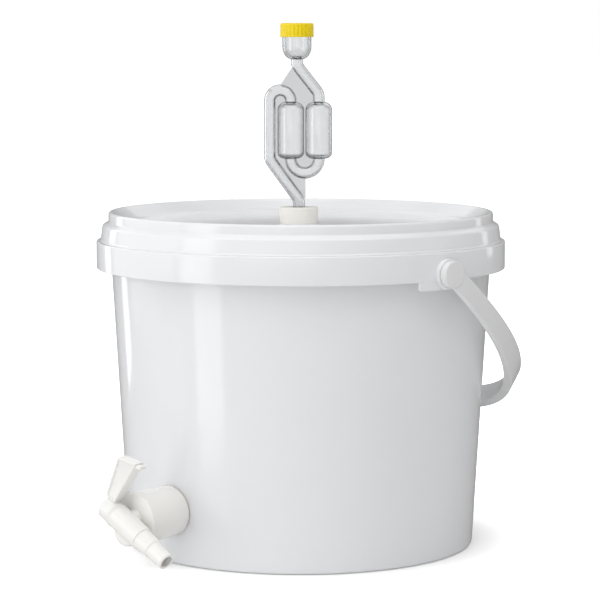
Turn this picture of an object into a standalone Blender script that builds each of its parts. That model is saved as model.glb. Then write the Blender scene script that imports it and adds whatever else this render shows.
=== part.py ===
"""Ten litre fermentation bucket with a press-fit lid, a twin-chamber airlock, a bail handle and a lever tap."""

import math

import bmesh
import bpy
from mathutils import Matrix, Vector

for stale in list(bpy.data.objects):
    bpy.data.objects.remove(stale, do_unlink=True)

# Clearance between pieces that seat on or turn in one another, and how far a cutter runs past a wall
gap = 0.0003
cut_margin = 0.004
merge_distance = 0.00001

# Facets of the round shapes
bucket_steps = 72
small_steps = 32
tube_steps = 16
tube_bevel = 5
chamber_steps = 20
corner_steps = 3
bend_steps = 8
sharp_angle = math.radians(40.0)

# Bucket body: a drafted wall on a flat base
base_radius = 0.1188
base_round = 0.0015
body_height = 0.1901
body_flare = 0.0109
wall = 0.0021
floor_thickness = 0.0026
floor_round = 0.004
draft = body_flare / body_height

# Brim that the lid fits over, and the skirt that hangs round it
brim_inset = 0.0005
brim_wall = 0.0021
brim_height = 0.0145
bead_depth = 0.0023
bead_lift = 0.0037
bead_height = 0.0035
skirt_width = 0.0108
skirt_wall = 0.0022
skirt_height = 0.0187
skirt_round = 0.0010
shelf_drop = 0.0005
shelf_thickness = 0.0021
brim_radius = base_radius + body_flare - brim_inset
skirt_radius = brim_radius + skirt_width
skirt_top = body_height + skirt_height
shelf_top = skirt_top - shelf_drop
brim_top = shelf_top + brim_height

# Tabs under the skirt and bosses that carry the handle
tab_half_width = 0.0222
tab_depth = 0.0058
tab_round = 0.0025
tab_inset = 0.0002
boss_radius = 0.010
boss_round = 0.0006
boss_height = 0.0031
pivot_lift = 0.0045
boss_end = skirt_radius + boss_height
pivot_height = body_height + pivot_lift

# Lid: floor, sloped inner side, rounded crest, two outer steps
lid_wall = 0.0017
lid_thickness = 0.0016
lid_sink = 0.0028
lid_fillet_run = 0.0034
lid_fillet_rise = 0.0020
lid_fillet_share = 0.25
lid_slope_run = 0.0068
lid_slope_rise = 0.0055
lid_crest_width = 0.0019
lid_crest_rise = 0.0009
lid_rim_round = 0.0020
lid_rim_offset = 0.0025
lid_rim_height = 0.0047
lid_step_width = 0.0041
lid_step_drop = 0.0024
lid_step_round = 0.0008
lid_edge_flare = 0.0012
gasket_height = 0.0021
gasket_width = 0.0019
lid_rim_radius = brim_radius + lid_rim_offset
lid_crest_radius = lid_rim_radius - lid_rim_round
lid_crest_inner_radius = lid_crest_radius - lid_crest_width
lid_slope_radius = lid_crest_inner_radius - lid_slope_run
lid_floor_radius = lid_slope_radius - lid_fillet_run
lid_step_radius = lid_rim_radius + lid_step_width
lid_edge_radius = lid_step_radius + lid_edge_flare
lid_floor_top = brim_top - lid_sink
lid_slope_height = lid_floor_top + lid_fillet_rise
lid_crest_inner_height = lid_slope_height + lid_slope_rise
lid_crest_height = lid_crest_inner_height + lid_crest_rise
lid_rim_shoulder = lid_crest_height - lid_rim_round
lid_rim_foot = lid_rim_shoulder - lid_rim_height
lid_step_height = lid_rim_foot - lid_step_drop
lid_edge_bottom = shelf_top + gap

# Bung in the lid, and the turn of the airlock's plane about the bucket's axis
view_turn = math.radians(47.75)
bung_offset = -0.0012
bung_rise = 0.0109
bung_height = 0.026
bung_top_radius = 0.0133
bung_taper = 0.0011
bung_round = 0.0005
bung_top = lid_floor_top + bung_rise

# Airlock, in its own plane: x across, z up, both from the bucket's centre
tube_radius = 0.0041
tube_wall = 0.0013
tube_ease = 0.003
stem_tail = 0.0089
stem_rise = 0.0051
chamber_lift = 0.0329
chamber_height = 0.0392
chamber_radius = 0.0092
chamber_wall = 0.0011
chamber_gap = 0.0007
chamber_dome = 0.0057
chamber_bowl = 0.0042
left_chamber_x = -0.0068
arch_span = 0.0143
arch_rise = 0.0005
left_tube_drop = 0.0003
entry_rise = 0.0055
neck_offset = 0.0042
neck_slant = 0.0190
neck_length = 0.0040
cup_radius = 0.00985
cup_wall = 0.0011
cup_bowl = 0.0090
cup_height = 0.0143
web_thickness = 0.0012
web_top_inset = 0.0039
web_top_drop = 0.0020
web_side_inset = 0.0065
web_side_rise = 0.0048
web_low_offset = 0.0046
web_low_rise = 0.0010
web_bend_start = math.radians(-72.0)
joint_share = 0.7
bore_radius = tube_radius - tube_wall
stem_x = bung_offset
stem_bottom = bung_top - bung_height - stem_tail
stem_bend_height = bung_top + stem_rise
chamber_bottom = bung_top + chamber_lift
chamber_top = chamber_bottom + chamber_height
chamber_spacing = 2.0 * chamber_radius + chamber_gap
right_chamber_x = left_chamber_x + chamber_spacing
bend_x = left_chamber_x + 0.5 * chamber_spacing
bend_radius = 0.5 * chamber_spacing
left_tube_x = left_chamber_x - arch_span
left_tube_low = chamber_bottom - left_tube_drop
arch_x = left_chamber_x - 0.5 * arch_span
arch_radius = 0.5 * arch_span
arch_height = chamber_top + arch_rise
entry_height = chamber_top + entry_rise
neck_x = left_chamber_x + neck_offset
neck_bottom = entry_height + neck_slant
neck_joint = neck_bottom + neck_length
cup_straight_low = neck_joint + cup_bowl
cup_top = cup_straight_low + cup_height

# Cap resting on the rim of the airlock's cup
cap_wall = 0.00125
cap_roof = 0.0012
cap_grip = 0.0080
cap_flute_depth = 0.0004
cap_flutes = 26
cap_radius = cup_radius + gap + cap_wall
cap_inside_top = cup_top + gap
cap_top = cap_inside_top + cap_roof
cap_bottom = cup_top - cap_grip

# Handle: flat strap bent as a rounded arc in one plane, with a hub and a peg at each end
handle_spare = 0.0317
handle_corner_share = 0.857
handle_inner_corner_share = 0.89
handle_thickness = 0.0043
handle_end_width = 0.0126
handle_mid_width = 0.0163
handle_width_share = 0.8
handle_edge = 0.0006
handle_sections = 40
hang_gap = 0.0020
hub_radius = 0.0090
hub_face_inset = 0.0009
hub_rise = 0.0005
peg_radius = 0.0042
peg_head_width = 0.0010
peg_head_length = 0.0024
peg_slack = 0.0006
handle_half_width = boss_end + gap + handle_thickness
handle_inner_half_width = boss_end + gap
handle_depth = skirt_radius + handle_spare
handle_inner_depth = handle_depth - handle_thickness

# Tap fixings: place on the wall, tail through it, washers and nut
tap_turn = math.radians(3.15)
tap_height = 0.0366
tail_radius = 0.0131
tail_wall = 0.0041
tail_spare = 0.0054
hole_slack = 0.0004
collar_rim = 0.0032
washer_inset = 0.0003
washer_thickness = 0.0006
inner_washer_rim = 0.0049
inner_washer_thickness = 0.0029
nut_rim = 0.0064
nut_length = 0.0080
collar_wall_radius = tail_radius + collar_rim
washer_radius = collar_wall_radius - washer_inset
collar_clearance = gap + washer_thickness + gap
inner_washer_radius = tail_radius + inner_washer_rim
inner_washer_flat = -wall - gap - inner_washer_thickness
nut_radius = tail_radius + nut_rim
nut_front = inner_washer_flat - gap
nut_back = nut_front - nut_length
tail_end = nut_back - tail_spare

# Tap body: collar, and a barrel across its front that narrows in steps to the spout
collar_length = 0.0310
collar_flare = 0.0013
collar_round = 0.0009
front_wall = 0.0030
barrel_standoff = 0.0096
barrel_neck_radius = 0.0065
barrel_boss_radius = 0.0095
barrel_boss_length = 0.0058
barrel_boss_round = 0.0022
spout_slope = math.radians(27.8)
spout_bore_radius = 0.0042
spout_wall = 0.0014
spout_taper = 0.0005
spout_length = 0.0138
barb_step = 0.0004
barb_taper = 0.0006
barb_length = 0.0117
barrel_step = 0.0007
barrel_taper = 0.0004
barrel_wall = 0.0013
barrel_start = -0.0085
barrel_end = 0.0186
flange_width = 0.0003
flange_length = 0.0014
collar_front = collar_clearance + collar_length
collar_front_radius = collar_wall_radius + collar_flare
spout_axis_out = collar_front + barrel_standoff
barb_end = barrel_end + barb_length
spout_end = barb_end + spout_length
spout_end_radius = spout_bore_radius + spout_wall
spout_start_radius = spout_end_radius + spout_taper
barb_end_radius = spout_start_radius + barb_step
barb_start_radius = barb_end_radius + barb_taper
barrel_end_radius = barb_start_radius + barrel_step
barrel_start_radius = barrel_end_radius + barrel_taper
flange_radius = barrel_start_radius + flange_width

# Tap plug: it turns in the barrel, and its head and lever stand outside it
plug_seat_floor = 0.0060
plug_bore_depth = 0.0070
port_radius = 0.0034
head_inset = 0.0005
head_length = 0.0096
head_round = 0.0009
lever_root_share = 0.5
lever_foot_sink = 0.0002
lever_foot_inset = 0.0066
lever_foot_width = 0.0091
lever_top_width = 0.0165
lever_left_length = 0.0291
lever_top_rise = 0.0069
lever_front = 0.0025
lever_back_top = -0.0030
lever_back_foot = -0.0060
lever_neck_left_inset = 0.0018
lever_neck_inset = 0.0008
lever_panel_rim = 0.0016
lever_panel_corner_share = 1.5
lever_panel_depth = 0.0010
lever_round = 0.0005
lip_length = 0.0054
lip_thickness = 0.0019
lip_width = 0.0040
plug_radius = barrel_end_radius - barrel_wall - gap
plug_end = barrel_end - plug_seat_floor
head_radius = flange_radius - head_inset
head_start = barrel_start - gap
head_end = head_start - head_length
lever_root = lever_root_share * head_radius
lever_foot = head_radius - lever_foot_sink
lever_foot_right = head_end + lever_foot_inset
lever_foot_left = lever_foot_right - lever_foot_width
lever_top_right = lever_foot_left + lever_top_width
lever_top_left_height = lever_foot + lever_left_length
lever_top_right_height = lever_top_left_height + lever_top_rise
lever_neck_left = lever_foot_left + lever_neck_left_inset


# Collections
def new_collection(name):
    made = bpy.data.collections.new(name)
    bpy.context.scene.collection.children.link(made)
    return made


parts = new_collection("fermentation_bucket")
cutters = new_collection("cutters")


# Materials
def material(name, colour, roughness, metallic=0.0):
    made = bpy.data.materials.new(name)
    made.use_nodes = True
    shader = made.node_tree.nodes["Principled BSDF"]
    shader.inputs["Base Color"].default_value = (*colour, 1.0)
    shader.inputs["Roughness"].default_value = roughness
    shader.inputs["Metallic"].default_value = metallic
    return made


looks = {
    "bucket": material("bucket_white_plastic", (0.86, 0.87, 0.90), 0.22),
    "lid": material("lid_white_plastic", (0.85, 0.86, 0.89), 0.28),
    "lid_gasket": material("gasket_soft_white", (0.78, 0.78, 0.76), 0.6),
    "airlock_bung": material("bung_cream_rubber", (0.83, 0.78, 0.69), 0.6),
    "airlock_body": material("airlock_clear_plastic", (0.88, 0.90, 0.92), 0.06),
    "airlock_cap": material("cap_yellow_plastic", (0.86, 0.66, 0.0), 0.35),
    "handle": material("handle_white_plastic", (0.80, 0.81, 0.83), 0.3),
    "tap_body": material("tap_white_plastic", (0.86, 0.85, 0.83), 0.3),
    "tap_plug": material("plug_white_plastic", (0.85, 0.84, 0.82), 0.32),
    "tap_outer_washer": material("outer_washer_beige_rubber", (0.62, 0.54, 0.44), 0.7),
    "tap_inner_washer": material("inner_washer_beige_rubber", (0.60, 0.52, 0.42), 0.7),
    "tap_back_nut": material("nut_white_plastic", (0.82, 0.81, 0.79), 0.35),
}


# Building blocks
def add(name, mesh, place=None, cutter=False):
    made = bpy.data.objects.new(name, mesh)
    (cutters if cutter else parts).objects.link(made)
    if place is not None:
        made.matrix_world = place
    if cutter:
        made.hide_render = True
        made.display_type = "WIRE"
    else:
        mesh.materials.append(looks[name])
    return made


def turned(name, profile, steps, place=None, cutter=False, closed=False):
    """A profile of (radius, height) turned about the local Z axis."""
    edges = [(i, i + 1) for i in range(len(profile) - 1)]
    if closed:
        edges.append((len(profile) - 1, 0))
    mesh = bpy.data.meshes.new(name)
    mesh.from_pydata([(r, 0.0, z) for r, z in profile], edges, [])
    made = add(name, mesh, place, cutter)
    screw = made.modifiers.new("turn", "SCREW")
    screw.axis = "Z"
    screw.angle = 2.0 * math.pi
    screw.steps = steps
    screw.render_steps = steps
    screw.use_merge_vertices = True
    screw.merge_threshold = merge_distance
    screw.use_smooth_shade = True
    return made


def curve_mesh(name, curve):
    """The mesh of a filled or bevelled curve, with its caps welded on."""
    drawn = bpy.data.objects.new(name, curve)
    bpy.context.scene.collection.objects.link(drawn)
    depsgraph = bpy.context.evaluated_depsgraph_get()
    mesh = bpy.data.meshes.new_from_object(drawn.evaluated_get(depsgraph))
    bpy.data.objects.remove(drawn, do_unlink=True)
    mesh.materials.clear()
    shape = bmesh.new()
    shape.from_mesh(mesh)
    bmesh.ops.remove_doubles(shape, verts=shape.verts, dist=merge_distance)
    bmesh.ops.recalc_face_normals(shape, faces=shape.faces)
    shape.to_mesh(mesh)
    shape.free()
    return mesh


def poly_spline(curve, points, cyclic):
    spline = curve.splines.new("POLY")
    spline.points.add(len(points) - 1)
    for point, (x, y, z) in zip(spline.points, points):
        point.co = (x, y, z, 1.0)
    spline.use_cyclic_u = cyclic
    spline.use_smooth = not cyclic


def prism(name, outline, low, high, place, cutter=False):
    """An outline of (x, y) filled and raised from low to high along the local Z axis."""
    curve = bpy.data.curves.new(name, "CURVE")
    curve.dimensions = "2D"
    curve.fill_mode = "BOTH"
    curve.extrude = 0.5 * (high - low)
    poly_spline(curve, [(x, y, 0.0) for x, y in outline], True)
    middle = Matrix.Translation((0.0, 0.0, 0.5 * (low + high)))
    return add(name, curve_mesh(name, curve), place @ middle, cutter)


def lofted(name, sections, place, cutter=False):
    """A solid through rings of equally many points, for sections that change along the way."""
    count = len(sections[0])
    points = [p for ring in sections for p in ring]
    faces = [tuple(reversed(range(count)))]
    for s in range(len(sections) - 1):
        for i in range(count):
            j = (i + 1) % count
            faces.append((s * count + i, s * count + j, (s + 1) * count + j, (s + 1) * count + i))
    last = (len(sections) - 1) * count
    faces.append(tuple(range(last, last + count)))
    mesh = bpy.data.meshes.new(name)
    mesh.from_pydata(points, [], faces)
    mesh.shade_smooth()
    mesh.set_sharp_from_angle(angle=sharp_angle)
    return add(name, mesh, place, cutter)


def boolean(target, other, operation, solver="EXACT"):
    step = target.modifiers.new(other.name, "BOOLEAN")
    step.operation = operation
    step.solver = solver
    step.object = other
    return target


def arc(centre_x, centre_y, radius, start, end, steps):
    """Points of an arc, both ends included."""
    angles = [start + (end - start) * i / steps for i in range(steps + 1)]
    return [(centre_x + radius * math.cos(a), centre_y + radius * math.sin(a)) for a in angles]


def eased(before, corner, after, ease):
    """Points that take a path round a corner in a short curve, which starts and ends at the ease from it."""
    middle = Vector(corner)
    start = middle + (Vector(before) - middle).normalized() * ease
    end = middle + (Vector(after) - middle).normalized() * ease
    points = []
    for i in range(corner_steps + 1):
        share = i / corner_steps
        points.append(tuple(start.lerp(middle, share).lerp(middle.lerp(end, share), share)))
    return points


def quarter(r_from, z_from, r_to, z_to, outward_first, steps):
    """Points of a quarter ellipse between two (radius, height) points."""
    points = []
    for i in range(steps + 1):
        turn = 0.5 * math.pi * i / steps
        early = math.sin(turn)
        late = 1.0 - math.cos(turn)
        r_share = early if outward_first else late
        z_share = late if outward_first else early
        points.append((r_from + (r_to - r_from) * r_share, z_from + (z_to - z_from) * z_share))
    return points


def frame_of(origin, x_axis, y_axis, z_axis):
    columns = Matrix((x_axis, y_axis, z_axis)).transposed().to_4x4()
    return Matrix.Translation(origin) @ columns


def rod(name, radius, low, high, steps, place):
    """A plain round cutter or bar along the local Z axis."""
    mesh = bpy.data.meshes.new(name)
    shape = bmesh.new()
    middle = Matrix.Translation((0.0, 0.0, 0.5 * (low + high))) @ Matrix.Rotation(0.5 * math.pi, 4, "Z")
    bmesh.ops.create_cone(shape, cap_ends=True, segments=steps, radius1=radius, radius2=radius,
                          depth=high - low, matrix=middle)
    shape.to_mesh(mesh)
    shape.free()
    mesh.shade_smooth()
    return add(name, mesh, place, True)


# Shared axes
up = Vector((0.0, 0.0, 1.0))
along_pivot = Vector((1.0, 0.0, 0.0))


def wall_radius(height):
    return base_radius + draft * height


# Bucket
def body_profile():
    shelf_low = shelf_top - shelf_thickness
    bead_low = shelf_top + bead_lift
    inner_floor_radius = wall_radius(floor_thickness) - wall
    profile = [(0.0, floor_thickness)]
    profile += quarter(inner_floor_radius - floor_round, floor_thickness,
                       wall_radius(floor_thickness + floor_round) - wall, floor_thickness + floor_round,
                       True, corner_steps)
    profile += [
        (wall_radius(shelf_low) - wall, shelf_low),
        (brim_radius - brim_wall, shelf_top),
        (brim_radius - brim_wall, brim_top),
        (brim_radius, brim_top),
        (brim_radius, bead_low + bead_height),
        (brim_radius + bead_depth, bead_low + 0.5 * bead_height),
        (brim_radius, bead_low),
        (brim_radius, shelf_top),
        (skirt_radius - skirt_wall, shelf_top),
        (skirt_radius - skirt_wall + skirt_round, skirt_top),
        (skirt_radius - skirt_round, skirt_top),
        (skirt_radius, skirt_top - skirt_round),
        (skirt_radius, body_height),
        (skirt_radius - skirt_wall, body_height),
        (skirt_radius - skirt_wall, shelf_low),
        (wall_radius(shelf_low), shelf_low),
        (wall_radius(base_round), base_round),
        (wall_radius(0.0) - base_round, 0.0),
        (0.0, 0.0),
    ]
    return profile


def half_facet(steps):
    """Turns a round shape by half a facet, so that its edges pass between those of the shape it joins."""
    return Matrix.Rotation(math.pi / steps, 4, "Z")


def side_frame(side):
    """Local Z runs outward along the pivot axis on one side, local X along the skirt, local Y up."""
    outward = along_pivot * side
    return frame_of(up * pivot_height, up.cross(outward), up, outward)


bucket = turned("bucket", body_profile(), bucket_steps)
sides = (("right", 1.0), ("left", -1.0))
for label, side in sides:
    tab_top = body_height + tab_round
    tab_low = body_height - tab_depth
    tab = turned("tab_" + label, [
        (skirt_radius - skirt_wall + tab_inset, tab_top),
        (skirt_radius - tab_inset, tab_top),
        (skirt_radius - tab_inset, tab_low),
        (skirt_radius - skirt_wall + tab_inset, tab_low),
    ], bucket_steps, half_facet(bucket_steps), True, True)
    low = tab_low - pivot_height
    corner = tab_half_width - tab_round
    outline = arc(-corner, low + tab_round, tab_round, math.pi, 1.5 * math.pi, corner_steps)
    outline += arc(corner, low + tab_round, tab_round, 1.5 * math.pi, 2.0 * math.pi, corner_steps)
    outline += [(tab_half_width, 0.0), (-tab_half_width, 0.0)]
    window = prism("tab_window_" + label, outline, brim_radius, skirt_radius + cut_margin,
                   side_frame(side), True)
    boolean(tab, window, "INTERSECT")
    boolean(bucket, tab, "UNION")
for label, side in sides:
    boss = turned("boss_" + label, [
        (0.0, boss_end),
        (boss_radius - boss_round, boss_end),
        (boss_radius, boss_end - boss_round),
        (boss_radius, skirt_radius - 0.5 * skirt_wall),
        (0.0, skirt_radius - 0.5 * skirt_wall),
    ], small_steps, side_frame(side) @ half_facet(small_steps), True)
    boolean(bucket, boss, "UNION")
for label, side in sides:
    bore = rod("peg_bore_" + label, peg_radius + gap, skirt_radius - skirt_wall - cut_margin,
               boss_end + cut_margin, small_steps, side_frame(side) @ half_facet(small_steps))
    boolean(bucket, bore, "DIFFERENCE", "MANIFOLD")

# Tap frame: local Z leaves the drafted wall squarely, local X runs level, local Y up the wall
tap_tilt = math.atan(draft)
tap_level = Vector((math.sin(tap_turn), -math.cos(tap_turn), 0.0))
tap_side = Vector((math.cos(tap_turn), math.sin(tap_turn), 0.0))
tap_out = tap_level * math.cos(tap_tilt) - up * math.sin(tap_tilt)
tap_up = tap_out.cross(tap_side)
tap_seat = tap_level * wall_radius(tap_height) + up * tap_height
tap_frame = frame_of(tap_seat, tap_side, tap_up, tap_out)
tap_hole = rod("tap_hole", tail_radius + hole_slack, -wall - cut_margin, cut_margin, small_steps, tap_frame)
boolean(bucket, tap_hole, "DIFFERENCE", "MANIFOLD")

# Lid
lid_roof = brim_top + gap + gasket_height + gap
slope_length = math.hypot(lid_slope_run, lid_slope_rise)
under_r = lid_thickness * lid_slope_rise / slope_length
under_z = lid_thickness * lid_slope_run / slope_length
roof_rise = lid_roof - lid_slope_height + under_z
roof_inner_radius = lid_slope_radius + under_r + lid_slope_run * roof_rise / lid_slope_rise


def lid_profile():
    inner_step = lid_step_radius - lid_wall
    fillet_radius = lid_floor_radius + 0.5 * lid_fillet_run
    fillet_height = lid_floor_top + lid_fillet_share * lid_fillet_rise
    crest = quarter(lid_crest_radius, lid_crest_height, lid_rim_radius, lid_rim_shoulder, True, corner_steps)
    return [
        (0.0, lid_floor_top),
        (lid_floor_radius, lid_floor_top),
        (fillet_radius, fillet_height),
        (lid_slope_radius, lid_slope_height),
        (lid_crest_inner_radius, lid_crest_inner_height),
        (lid_crest_radius - 0.5 * lid_crest_width, lid_crest_height),
    ] + crest + [
        (lid_rim_radius, lid_rim_foot),
        (lid_step_radius - lid_step_round, lid_step_height),
        (lid_step_radius, lid_step_height - lid_step_round),
        (lid_edge_radius, lid_edge_bottom),
        (lid_edge_radius - lid_wall, lid_edge_bottom),
        (inner_step, lid_step_height - lid_wall),
        (lid_rim_radius - lid_wall, lid_rim_foot - lid_wall),
        (lid_rim_radius - lid_wall, lid_roof),
        (roof_inner_radius, lid_roof),
        (lid_slope_radius + under_r, lid_slope_height - under_z),
        (lid_floor_radius, lid_floor_top - lid_thickness),
        (0.0, lid_floor_top - lid_thickness),
    ]


across_view = Vector((math.cos(view_turn), math.sin(view_turn), 0.0))
away_from_view = Vector((-math.sin(view_turn), math.cos(view_turn), 0.0))
bung_axis = across_view * bung_offset
bung_place = Matrix.Translation(bung_axis)


def bung_radius(height):
    return bung_top_radius - bung_taper * (bung_top - height) / bung_height


lid = turned("lid", lid_profile(), bucket_steps)
hole_top = lid_floor_top + cut_margin
hole_low = lid_floor_top - lid_thickness - cut_margin
lid_hole = turned("lid_hole", [
    (0.0, hole_top),
    (bung_radius(hole_top) + gap, hole_top),
    (bung_radius(hole_low) + gap, hole_low),
    (0.0, hole_low),
], small_steps, bung_place, True)
boolean(lid, lid_hole, "DIFFERENCE")

# Gasket in the lid's groove
gasket_outer = lid_rim_radius - lid_wall - gap
turned("lid_gasket", [
    (gasket_outer - gasket_width, brim_top + gap + gasket_height),
    (gasket_outer, brim_top + gap + gasket_height),
    (gasket_outer, brim_top + gap),
    (gasket_outer - gasket_width, brim_top + gap),
], bucket_steps, None, False, True)

# Bung
turned("airlock_bung", [
    (tube_radius + gap, bung_top),
    (bung_top_radius - bung_round, bung_top),
    (bung_top_radius, bung_top - bung_round),
    (bung_top_radius - bung_taper, bung_top - bung_height),
    (tube_radius + gap, bung_top - bung_height),
], small_steps, bung_place, False, True)

# Airlock: outside shapes joined, then the bores cut through them
airlock_place = frame_of(Vector((0.0, 0.0, 0.0)), across_view, away_from_view, up)


def at_x(x):
    return Matrix.Translation(across_view * x)


def tube(name, path, radius):
    """A round tube along a path of (x, z) in the airlock's plane."""
    curve = bpy.data.curves.new(name, "CURVE")
    curve.dimensions = "3D"
    curve.bevel_depth = radius
    curve.bevel_resolution = tube_bevel
    curve.use_fill_caps = True
    poly_spline(curve, [(x, 0.0, z) for x, z in path], False)
    return add(name, curve_mesh(name, curve), airlock_place, True)


def chamber(name, x, inset, neck):
    """A chamber's outer shape, or with an inset its hollow, which the neck's radius joins to the tubes."""
    top = chamber_top - inset
    bottom = chamber_bottom + inset
    radius = chamber_radius - inset
    profile = [(0.0, top)]
    profile += quarter(neck, top, radius, chamber_top - chamber_dome, True, corner_steps)
    profile += quarter(radius, chamber_bottom + chamber_bowl, neck, bottom, False, corner_steps)
    profile.append((0.0, bottom))
    return turned(name, profile, chamber_steps, at_x(x), True)


def airlock_paths(overlap, cup_overlap):
    """The three tube runs; the overlaps are how far their ends reach into the chambers and into the cup."""
    cup_end = (neck_x, neck_joint + cup_overlap)
    neck_corner = (neck_x, neck_bottom)
    entry_corner = (right_chamber_x, entry_height)
    chamber_end = (right_chamber_x, chamber_top - overlap)
    inlet = [cup_end]
    inlet += eased(cup_end, neck_corner, entry_corner, tube_ease)
    inlet += eased(neck_corner, entry_corner, chamber_end, tube_ease)
    inlet.append(chamber_end)
    bend = [(right_chamber_x, chamber_bottom + overlap)]
    bend += arc(bend_x, chamber_bottom, bend_radius, 0.0, -math.pi, bend_steps)
    bend.append((left_chamber_x, chamber_bottom + overlap))
    outlet = [(left_chamber_x, chamber_top - overlap)]
    outlet += arc(arch_x, arch_height, arch_radius, 0.0, math.pi, bend_steps)
    left_corner = (left_tube_x, left_tube_low)
    stem_corner = (stem_x, stem_bend_height)
    stem_end = (stem_x, stem_bottom)
    outlet += eased(outlet[-1], left_corner, stem_corner, tube_ease)
    outlet += eased(left_corner, stem_corner, stem_end, tube_ease)
    outlet.append(stem_end)
    return {"inlet": inlet, "bend": bend, "outlet": outlet}


def cup_profile():
    """The open cup: down its inside from the axis side first, so that the outer side runs down last."""
    hollow_radius = cup_radius - cup_wall
    hollow_low = neck_joint + cup_wall
    steps = corner_steps + 1
    profile = [(0.0, hollow_low)]
    profile += quarter(joint_share * bore_radius, hollow_low, hollow_radius, cup_straight_low, True, steps)
    profile += [(hollow_radius, cup_top), (cup_radius, cup_top)]
    profile += quarter(cup_radius, cup_straight_low, joint_share * tube_radius, neck_joint, False, steps)
    profile.append((0.0, neck_joint))
    return profile


def web_outline():
    arch_top = arch_height + arch_radius
    low_x = stem_x + web_low_offset
    points = [
        (neck_x, neck_bottom),
        (neck_x - web_top_inset, neck_bottom - web_top_drop),
        (left_chamber_x - web_side_inset, arch_top + web_side_rise),
        (arch_x, arch_top),
        (left_tube_x, arch_height),
        (left_tube_x, left_tube_low),
        (stem_x, stem_bend_height),
        (low_x, stem_bend_height + web_low_rise),
        (low_x, chamber_bottom - bend_radius),
    ]
    points += arc(bend_x, chamber_bottom, bend_radius, web_bend_start, 0.0, bend_steps)
    points += [(right_chamber_x, chamber_top), (right_chamber_x, entry_height)]
    return points


overlap = 0.5 * tube_radius
outer_paths = airlock_paths(overlap, 0.5 * cup_wall)
inner_paths = airlock_paths(overlap + chamber_wall, cup_wall + cut_margin)
inner_paths["outlet"][-1] = (stem_x, stem_bottom - cut_margin)

airlock = turned("airlock_body", cup_profile(), chamber_steps, at_x(neck_x))
for key in ("inlet", "bend", "outlet"):
    boolean(airlock, tube("tube_" + key, outer_paths[key], tube_radius), "UNION")
for key, x in (("left", left_chamber_x), ("right", right_chamber_x)):
    boolean(airlock, chamber("chamber_" + key, x, 0.0, joint_share * tube_radius), "UNION")
web_place = airlock_place @ Matrix.Rotation(0.5 * math.pi, 4, "X")
web = prism("web", web_outline(), -0.5 * web_thickness, 0.5 * web_thickness, web_place, True)
boolean(airlock, web, "UNION")
for key in ("inlet", "bend", "outlet"):
    boolean(airlock, tube("bore_" + key, inner_paths[key], bore_radius), "DIFFERENCE")
for key, x in (("left", left_chamber_x), ("right", right_chamber_x)):
    boolean(airlock, chamber("hollow_" + key, x, chamber_wall, joint_share * bore_radius), "DIFFERENCE")

# Cap of the airlock
flute_points = []
for i in range(2 * cap_flutes):
    radius = cap_radius - (cap_flute_depth if i % 2 else 0.0)
    turn = math.pi * i / cap_flutes
    flute_points.append((radius * math.cos(turn), radius * math.sin(turn)))
cap = prism("airlock_cap", flute_points, cap_bottom, cap_top, at_x(neck_x))
boolean(cap, rod("cap_hollow", cup_radius + gap, cap_bottom - cut_margin, cap_inside_top, chamber_steps,
                 at_x(neck_x)), "DIFFERENCE")


# Handle, in its own plane: x along the pivot, y towards its middle, z across the strap
def strap_section(turn):
    c = math.cos(turn)
    s = math.sin(turn)
    shape_x = math.copysign(abs(c) ** handle_corner_share, c)
    shape_y = abs(s) ** handle_corner_share
    inner_x = math.copysign(abs(c) ** handle_inner_corner_share, c)
    inner_y = abs(s) ** handle_inner_corner_share
    width_share = min(shape_y / handle_width_share, 1.0)
    half = 0.5 * (handle_end_width + (handle_mid_width - handle_end_width) * width_share)
    outer = Vector((handle_half_width * shape_x, handle_depth * shape_y, 0.0))
    inner = Vector((handle_inner_half_width * inner_x, handle_inner_depth * inner_y, 0.0))
    inward = (inner - outer).normalized() * handle_edge
    rise = Vector((0.0, 0.0, half))
    chamfer = Vector((0.0, 0.0, handle_edge))
    return [
        outer + inward + rise,
        outer + rise - chamfer,
        outer - rise + chamfer,
        outer + inward - rise,
        inner - inward - rise,
        inner - rise + chamfer,
        inner + rise - chamfer,
        inner - inward + rise,
    ]


def hang_angle():
    """How far the handle's plane drops below level until the strap's low inner edge is near the wall."""
    half = 0.5 * handle_mid_width
    level_part = handle_inner_depth + draft * half
    drop_part = draft * handle_inner_depth - half
    near_wall = wall_radius(pivot_height) + hang_gap
    return math.atan2(drop_part, level_part) + math.acos(near_wall / math.hypot(level_part, drop_part))


handle_place = Matrix.Translation(up * pivot_height) @ Matrix.Rotation(-hang_angle(), 4, "X")
strap = [strap_section(math.pi * i / handle_sections) for i in range(handle_sections + 1)]
handle = lofted("handle", strap, handle_place)
hub_outer = handle_half_width + hub_rise
peg_head_face = skirt_radius - skirt_wall - peg_slack
for label, side in sides:
    hub = turned("hub_" + label, [
        (0.0, hub_outer),
        (hub_radius - hub_face_inset, hub_outer),
        (hub_radius, handle_half_width),
        (hub_radius, handle_inner_half_width),
        (peg_radius, handle_inner_half_width),
        (peg_radius, peg_head_face),
        (peg_radius + peg_head_width, peg_head_face),
        (peg_radius, peg_head_face - peg_head_length),
        (0.0, peg_head_face - peg_head_length),
    ], small_steps, side_frame(side), True)
    boolean(handle, hub, "UNION")

# Tap washers, cut to the wall's curve
def wall_shape(name, offset):
    """The bucket's wall round the tap, grown by an offset and filled to its axis."""
    high = 2.0 * tap_height
    profile = [(0.0, high), (wall_radius(high) + offset, high), (wall_radius(0.0) + offset, 0.0), (0.0, 0.0)]
    return turned(name, profile, bucket_steps, None, True)


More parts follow.
